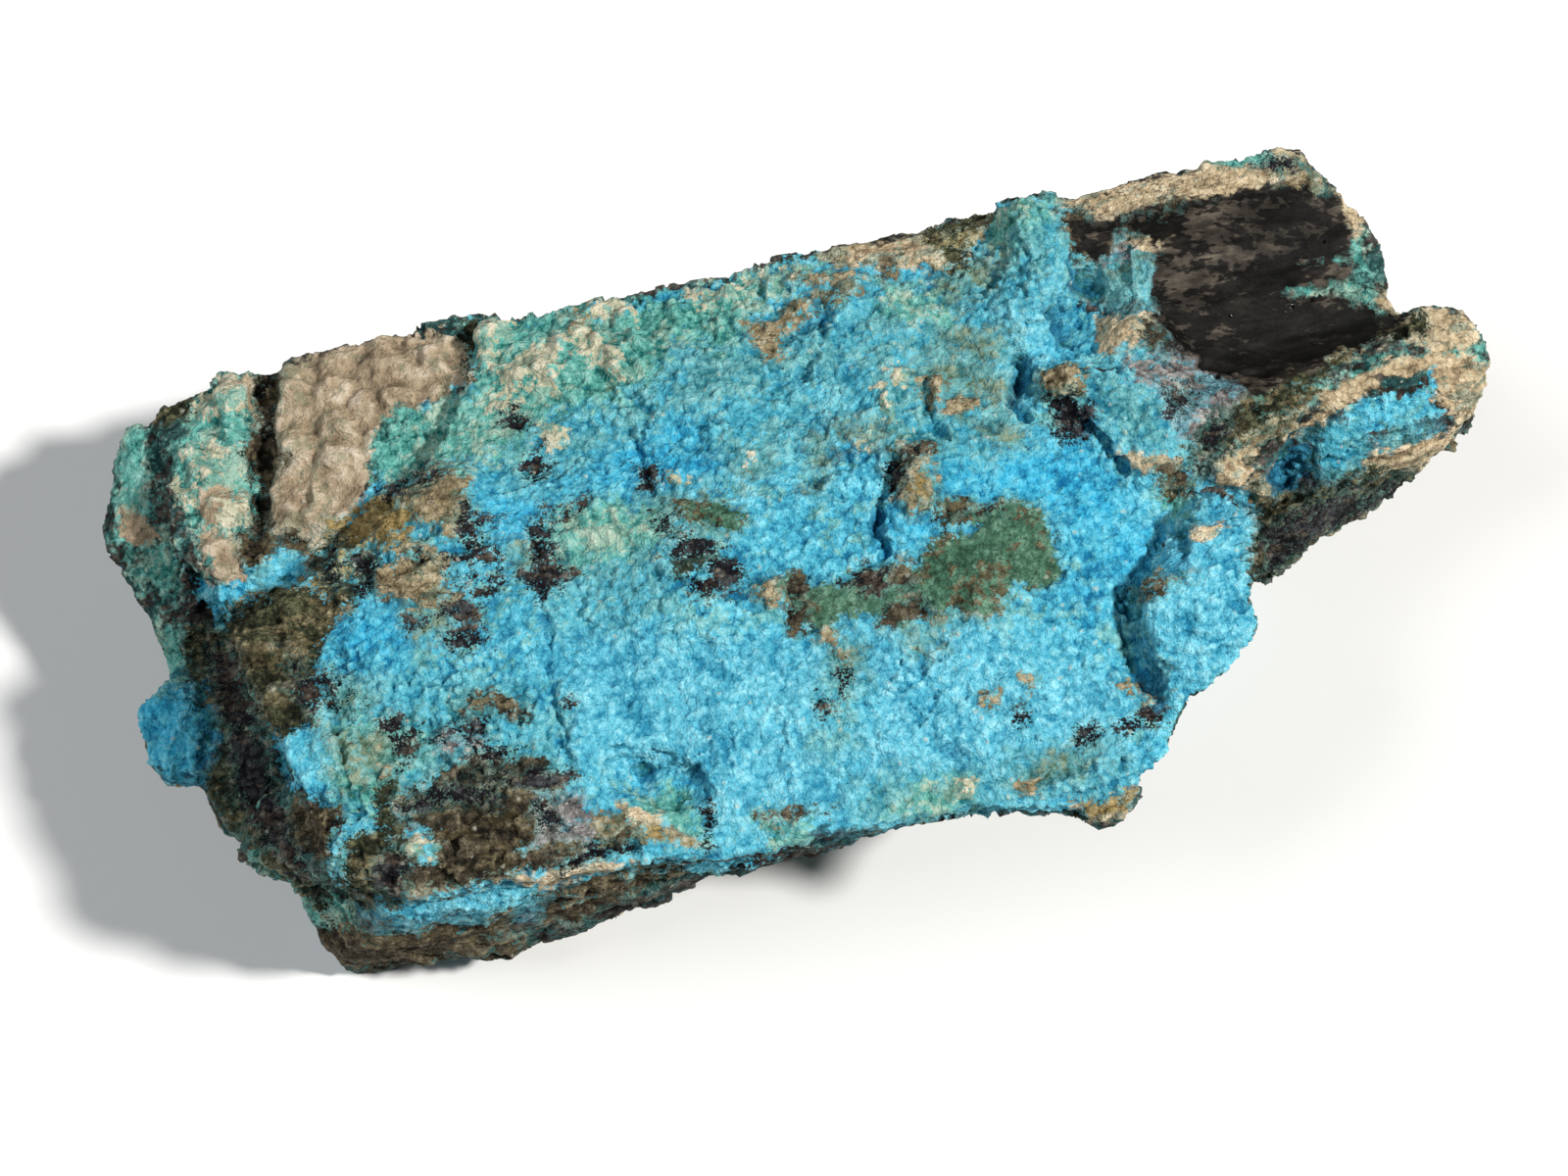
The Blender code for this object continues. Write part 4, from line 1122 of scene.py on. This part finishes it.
# Painted shade and highlight: how much darker the hollows and lighter the rises of the surface are coloured,
# per millimetre
RELIEF_SHADE_AND_HIGHLIGHT = 1.9
# Granules: how much lighter their middles are than the gaps between them, which is painted shade in the gaps,
# how much one differs from the next, how high they stand, and how far the border of a patch follows them
GRAIN_SIZE = 0.34
GRAIN_MIDDLE = 0.48
GRAIN_GAP_SHADE = 0.46
GRAIN_SPREAD = 0.24
GRAIN_HEIGHT = 0.11
GRAIN_BEND = 0.60
GRIT_SIZE = 0.11
GRIT_TONE = 0.70
GRAIN_EDGE = {"black": 0.45, "brown": 0.40, "tan": 0.40, "ochre": 0.40, "teal": 0.50, "nodule": 0.40}
PLAIN_GRAIN_EDGE = 0.30
# Some kinds end in fine specks
SPECKLED = {"black": 2.2, "brown": 1.1, "olive": 1.4, "ochre": 1.2, "tan": 1.2, "green": 0.8, "marble": 1.0}
SMOOTH_KINDS = ("slick", "beige")
# Round the dark and tan patches the crust is stained green for a short way
STAINED = {"green": 0.55, "olive": 0.45, "tan": 0.60, "ochre": 0.45, "brown": 0.55, "black": 0.50}
STAIN_WIDTH = 0.42
STAIN_SOFTNESS = 0.50
STAIN = ((0.030, 0.110, 0.095), (0.125, 0.290, 0.255), (0.28, 0.46, 0.41))
SECOND_EDGE = 0.07
SECOND_SPREAD = 0.45
VEIN_WIDTH = 0.022
# Some kinds are drawn out into strands along the rock
STRAND_TURN = math.radians(-8.0)
STRAND_STRETCH = 2.1
STRANDED = ("tan", "ochre", "olive", "brown", "black", "cream", "slick", "marble", "wall")
FLECK_SIZE = 0.16
# Pale specks: partly real pale grains, partly painted glints
GRAIN_AND_GLINT_COLOUR = (0.50, 0.52, 0.42, 1.0)
DULL = 0.92
SHEEN = 0.66
FACE_SPECULAR = 0.12


class Maker:
    """Adds nodes to a material and joins them up."""

    def __init__(self, name):
        self.material = bpy.data.materials.new(name)
        self.material.use_nodes = True
        self.tree = self.material.node_tree
        self.shader = self.tree.nodes["Principled BSDF"]

    def node(self, kind, inputs=None, **settings):
        node = self.tree.nodes.new(kind)
        for name, value in settings.items():
            setattr(node, name, value)
        for name, value in (inputs or {}).items():
            if isinstance(value, bpy.types.NodeSocket):
                self.tree.links.new(value, node.inputs[name])
            else:
                node.inputs[name].default_value = value
        return node

    def maths(self, operation, first, second=0.0, clamp=False):
        node = self.node("ShaderNodeMath", {0: first, 1: second}, operation=operation, use_clamp=clamp)
        return node.outputs[0]

    def noise(self, size, detail, place):
        """Three separate noises of that size, about -0.25 to 0.25."""
        inputs = {"Vector": place, "Scale": 1.0 / (size * MM), "Detail": detail, "Roughness": 0.6}
        texture = self.node("ShaderNodeTexNoise", inputs)
        parts = self.node("ShaderNodeSeparateColor", {"Color": texture.outputs["Color"]})
        return [self.maths("SUBTRACT", value, 0.5) for value in parts.outputs]

    def attribute(self, name):
        return self.node("ShaderNodeAttribute", attribute_name=name).outputs["Fac"]

    def ramp(self, value, colours):
        node = self.node("ShaderNodeValToRGB", {"Fac": value})
        first, last = node.color_ramp.elements
        for element, colour, position in zip((first, last), (colours[0], colours[2]), (0.1, 0.9)):
            element.position = position
            element.color = (*colour, 1.0)
        middle = node.color_ramp.elements.new(0.5)
        middle.color = (*colours[1], 1.0)
        return node.outputs["Color"]

    def mix(self, share, first, second):
        node = self.node("ShaderNodeMix", data_type="RGBA", blend_type="MIX")
        for socket, value in ((0, share), (6, first), (7, second)):
            if isinstance(value, bpy.types.NodeSocket):
                self.tree.links.new(value, node.inputs[socket])
            else:
                node.inputs[socket].default_value = value
        return node.outputs[2]


def mineral_colour(make, look, number, noises, relief):
    """The colour of one kind of mineral, before it is laid in its patches."""
    # The tone carries the painted shade and highlight of the relief, and of the granules where they are used
    tone = relief
    for layer, name in enumerate(MOTTLE):
        swing = make.maths("MULTIPLY", noises[name][(number + layer) % 3], MOTTLE_WEIGHT[name])
        tone = make.maths("ADD", tone, swing)
    colour = make.ramp(tone, look["colours"])
    pick = make.maths("ADD", noises["middle"][(number + 2) % 3], noises["broad"][(number + 1) % 3])
    pick = make.maths("ADD", pick, make.maths("MULTIPLY", noises["fine"][number % 3], 0.6))
    edge = (look["share"] - 0.5) * SECOND_SPREAD
    pick = make.maths("DIVIDE", make.maths("ADD", pick, edge), SECOND_EDGE)
    share = make.maths("ADD", pick, 0.5, clamp=True)
    colour = make.mix(share, colour, make.ramp(tone, look["second"]))
    if "veins" in look:
        line = make.maths("ABSOLUTE", make.maths("ADD", noises["middle"][number % 3], 0.03))
        line = make.maths("SUBTRACT", 1.0, make.maths("DIVIDE", line, VEIN_WIDTH), clamp=True)
        line = make.maths("MULTIPLY", line, make.maths("GREATER_THAN", noises["broad"][number % 3], -0.02))
        line = make.maths("MULTIPLY", line, 0.85)
        colour = make.mix(line, colour, (*look["veins"], 1.0))
    return colour


def rock_material():
    make = Maker("copper stained rock")
    place = make.node("ShaderNodeTexCoord").outputs["Object"]
    strand = make.node("ShaderNodeMapping", {"Vector": place}, vector_type="TEXTURE")
    strand.inputs["Rotation"].default_value = (0.0, 0.0, STRAND_TURN)
    strand.inputs["Scale"].default_value = (STRAND_STRETCH, 1.0, 1.0)
    mottles = {name: make.noise(size, 3.0, place) for name, size in MOTTLE.items()}
    strands = {name: make.noise(size, 3.0, strand.outputs[0]) for name, size in MOTTLE.items()}

    grit = make.noise(GRIT_SIZE, 2.0, place)
    bend = make.node("ShaderNodeTexNoise", {"Vector": place, "Scale": 1.0 / (GRAIN_SIZE * MM), "Detail": 2.0})
    reach = (GRAIN_SIZE * MM * GRAIN_BEND,) * 3
    bend = make.node("ShaderNodeVectorMath", {0: bend.outputs["Color"], 1: reach}, operation="MULTIPLY")
    bent = make.node("ShaderNodeVectorMath", {0: place, 1: bend.outputs[0]}, operation="ADD").outputs[0]
    grains = make.node("ShaderNodeTexVoronoi", {"Vector": bent, "Scale": 1.0 / (GRAIN_SIZE * MM)})
    picks = make.node("ShaderNodeSeparateColor", {"Color": grains.outputs["Color"]}).outputs
    dome = make.maths("SUBTRACT", GRAIN_MIDDLE, grains.outputs["Distance"])
    chance = make.maths("SUBTRACT", picks[0], 0.5)
    edge_chance = make.maths("SUBTRACT", picks[2], 0.5)

    # Painted shade and highlight: hollows of the surface are coloured darker and rises lighter
    relief = make.maths("MULTIPLY", make.attribute("relief"), RELIEF_SHADE_AND_HIGHLIGHT)
    relief_shaded_tone = make.maths("ADD", relief, 0.5)
    # Painted shade in the gaps between granules, their middles lighter
    grain_shaded_tone = make.maths("ADD", relief_shaded_tone, make.maths("MULTIPLY", dome, GRAIN_GAP_SHADE))
    grain_shaded_tone = make.maths("ADD", grain_shaded_tone, make.maths("MULTIPLY", chance, GRAIN_SPREAD))
    grain_shaded_tone = make.maths("ADD", grain_shaded_tone, make.maths("MULTIPLY", grit[1], GRIT_TONE))
    stain = make.ramp(grain_shaded_tone, STAIN)
    colour = None
    for number, (kind, look) in enumerate(MINERALS.items()):
        noises = strands if kind in STRANDED else mottles
        tone = relief_shaded_tone if kind in SMOOTH_KINDS else grain_shaded_tone
        shade = mineral_colour(make, look, number, noises, tone)
        if colour is None:
            colour = shade
            continue
        breakup = make.maths("ADD", noises["fine"][(number + 2) % 3], noises["middle"][(number + 1) % 3])
        breakup = make.maths("MULTIPLY", breakup, BREAKUP[kind])
        field = make.maths("ADD", make.attribute(kind), breakup)
        if kind in SPECKLED:
            field = make.maths("ADD", field, make.maths("MULTIPLY", grit[number % 3], SPECKLED[kind]))
        if kind in STAINED:
            reach = make.maths("DIVIDE", make.maths("ADD", field, STAIN_WIDTH), STAIN_SOFTNESS, clamp=True)
            colour = make.mix(make.maths("MULTIPLY", reach, STAINED[kind]), colour, stain)
        by_grain = make.maths("MULTIPLY", edge_chance, GRAIN_EDGE.get(kind, PLAIN_GRAIN_EDGE))
        field = make.maths("ADD", field, by_grain)
        share = make.maths("ADD", make.maths("DIVIDE", field, SOFTNESS.get(kind, CRISP)), 0.5, clamp=True)
        colour = make.mix(share, colour, shade)
        if kind == "slick":
            gloss = share

    # Pale specks in some granules, partly real grains and partly painted glints, not on the slickenside
    speck = make.maths("LESS_THAN", grains.outputs["Distance"], 0.30)
    speck = make.maths("MULTIPLY", speck, make.maths("GREATER_THAN", picks[1], 0.965))
    speck = make.maths("MULTIPLY", speck, make.maths("SUBTRACT", 0.5, gloss, clamp=True))
    colour = make.mix(speck, colour, GRAIN_AND_GLINT_COLOUR)
    make.tree.links.new(colour, make.shader.inputs["Base Color"])

    roughness = make.maths("ADD", make.maths("MULTIPLY", gloss, SHEEN - DULL), DULL)
    flecks = make.node("ShaderNodeTexVoronoi", {"Vector": place, "Scale": 1.0 / (FLECK_SIZE * MM)})
    fleck = make.node("ShaderNodeSeparateColor", {"Color": flecks.outputs["Color"]}).outputs[0]
    bright = make.maths("GREATER_THAN", fleck, 0.996)
    roughness = make.maths("SUBTRACT", roughness, make.maths("MULTIPLY", bright, 0.6), clamp=True)
    make.tree.links.new(roughness, make.shader.inputs["Roughness"])
    make.shader.inputs["Specular IOR Level"].default_value = FACE_SPECULAR

    height = make.maths("MULTIPLY", mottles["fine"][0], 0.17)
    height = make.maths("ADD", height, make.maths("MULTIPLY", grit[0], 0.15))
    height = make.maths("ADD", height, make.maths("MULTIPLY", dome, GRAIN_HEIGHT))
    calm = make.maths("SUBTRACT", 1.0, make.maths("MULTIPLY", gloss, 0.85))
    height = make.maths("MULTIPLY", height, calm)
    bump = make.node("ShaderNodeBump", {"Height": height, "Strength": 1.0, "Distance": MM})
    make.tree.links.new(bump.outputs["Normal"], make.shader.inputs["Normal"])
    return make.material


def build_rock():
    surface = fine_copy(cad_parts[NODE])
    fields = add_relief(surface)
    material = rock_material()
    for mesh in cut_into_lengths(surface, fields):
        mesh.materials.append(material)
        piece = bpy.data.objects.new(mesh.name, mesh)
        bpy.context.scene.collection.objects.link(piece)
        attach(piece, "root")
        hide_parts(NODE)
    bpy.data.meshes.remove(surface)


def build_camera():
    data = bpy.data.cameras.new("photo view")
    data.lens = LENS
    data.sensor_width = SENSOR
    data.clip_start = CLIP_START
    camera = bpy.data.objects.new("photo view", data)
    turn = Matrix((RIGHT, UP, BACK)).transposed().to_4x4()
    camera.matrix_world = Matrix.Translation(EYE * MM) @ turn
    bpy.context.scene.collection.objects.link(camera)
    bpy.context.scene.camera = camera


def build_floor():
    mesh = bpy.data.meshes.new("floor")
    reach = 1.5
    corners = [(-reach, -reach, 0), (reach, -reach, 0), (reach, reach, 0), (-reach, reach, 0)]
    mesh.from_pydata(corners, [], [(0, 1, 2, 3)])
    make = Maker("pale floor")
    make.shader.inputs["Base Color"].default_value = (0.80, 0.80, 0.79, 1.0)
    make.shader.inputs["Roughness"].default_value = 0.8
    mesh.materials.append(make.material)
    floor = bpy.data.objects.new("floor", mesh)
    bpy.context.scene.collection.objects.link(floor)


def add_light(name, towards, distance, size, power, colour=(1.0, 1.0, 1.0)):
    """An area light in that direction from the rock, facing it."""
    data = bpy.data.lights.new(name, "AREA")
    data.shape = "DISK"
    data.size = size
    data.energy = power
    data.color = colour
    light = bpy.data.objects.new(name, data)
    direction = towards.normalized()
    light.location = direction * distance + AIM * MM
    light.rotation_euler = direction.to_track_quat("Z", "Y").to_euler()
    bpy.context.scene.collection.objects.link(light)


def build_lights():
    add_light("key", RIGHT * 0.64 + UP * 0.17 + BACK * 0.75, 0.6, 0.06, 4.8, (1.0, 0.98, 0.95))
    add_light("fill", RIGHT * -0.70 + UP * 0.30 + BACK * 0.9, 0.6, 0.35, 1.9, (0.94, 0.97, 1.0))
    world = bpy.data.worlds.new("studio")
    world.use_nodes = True
    background = world.node_tree.nodes["Background"]
    background.inputs["Color"].default_value = (0.92, 0.95, 1.0, 1.0)
    background.inputs["Strength"].default_value = 0.06
    bpy.context.scene.world = world
    bpy.context.scene.view_settings.view_transform = "Standard"


build_camera()
build_rock()
build_floor()
build_lights()
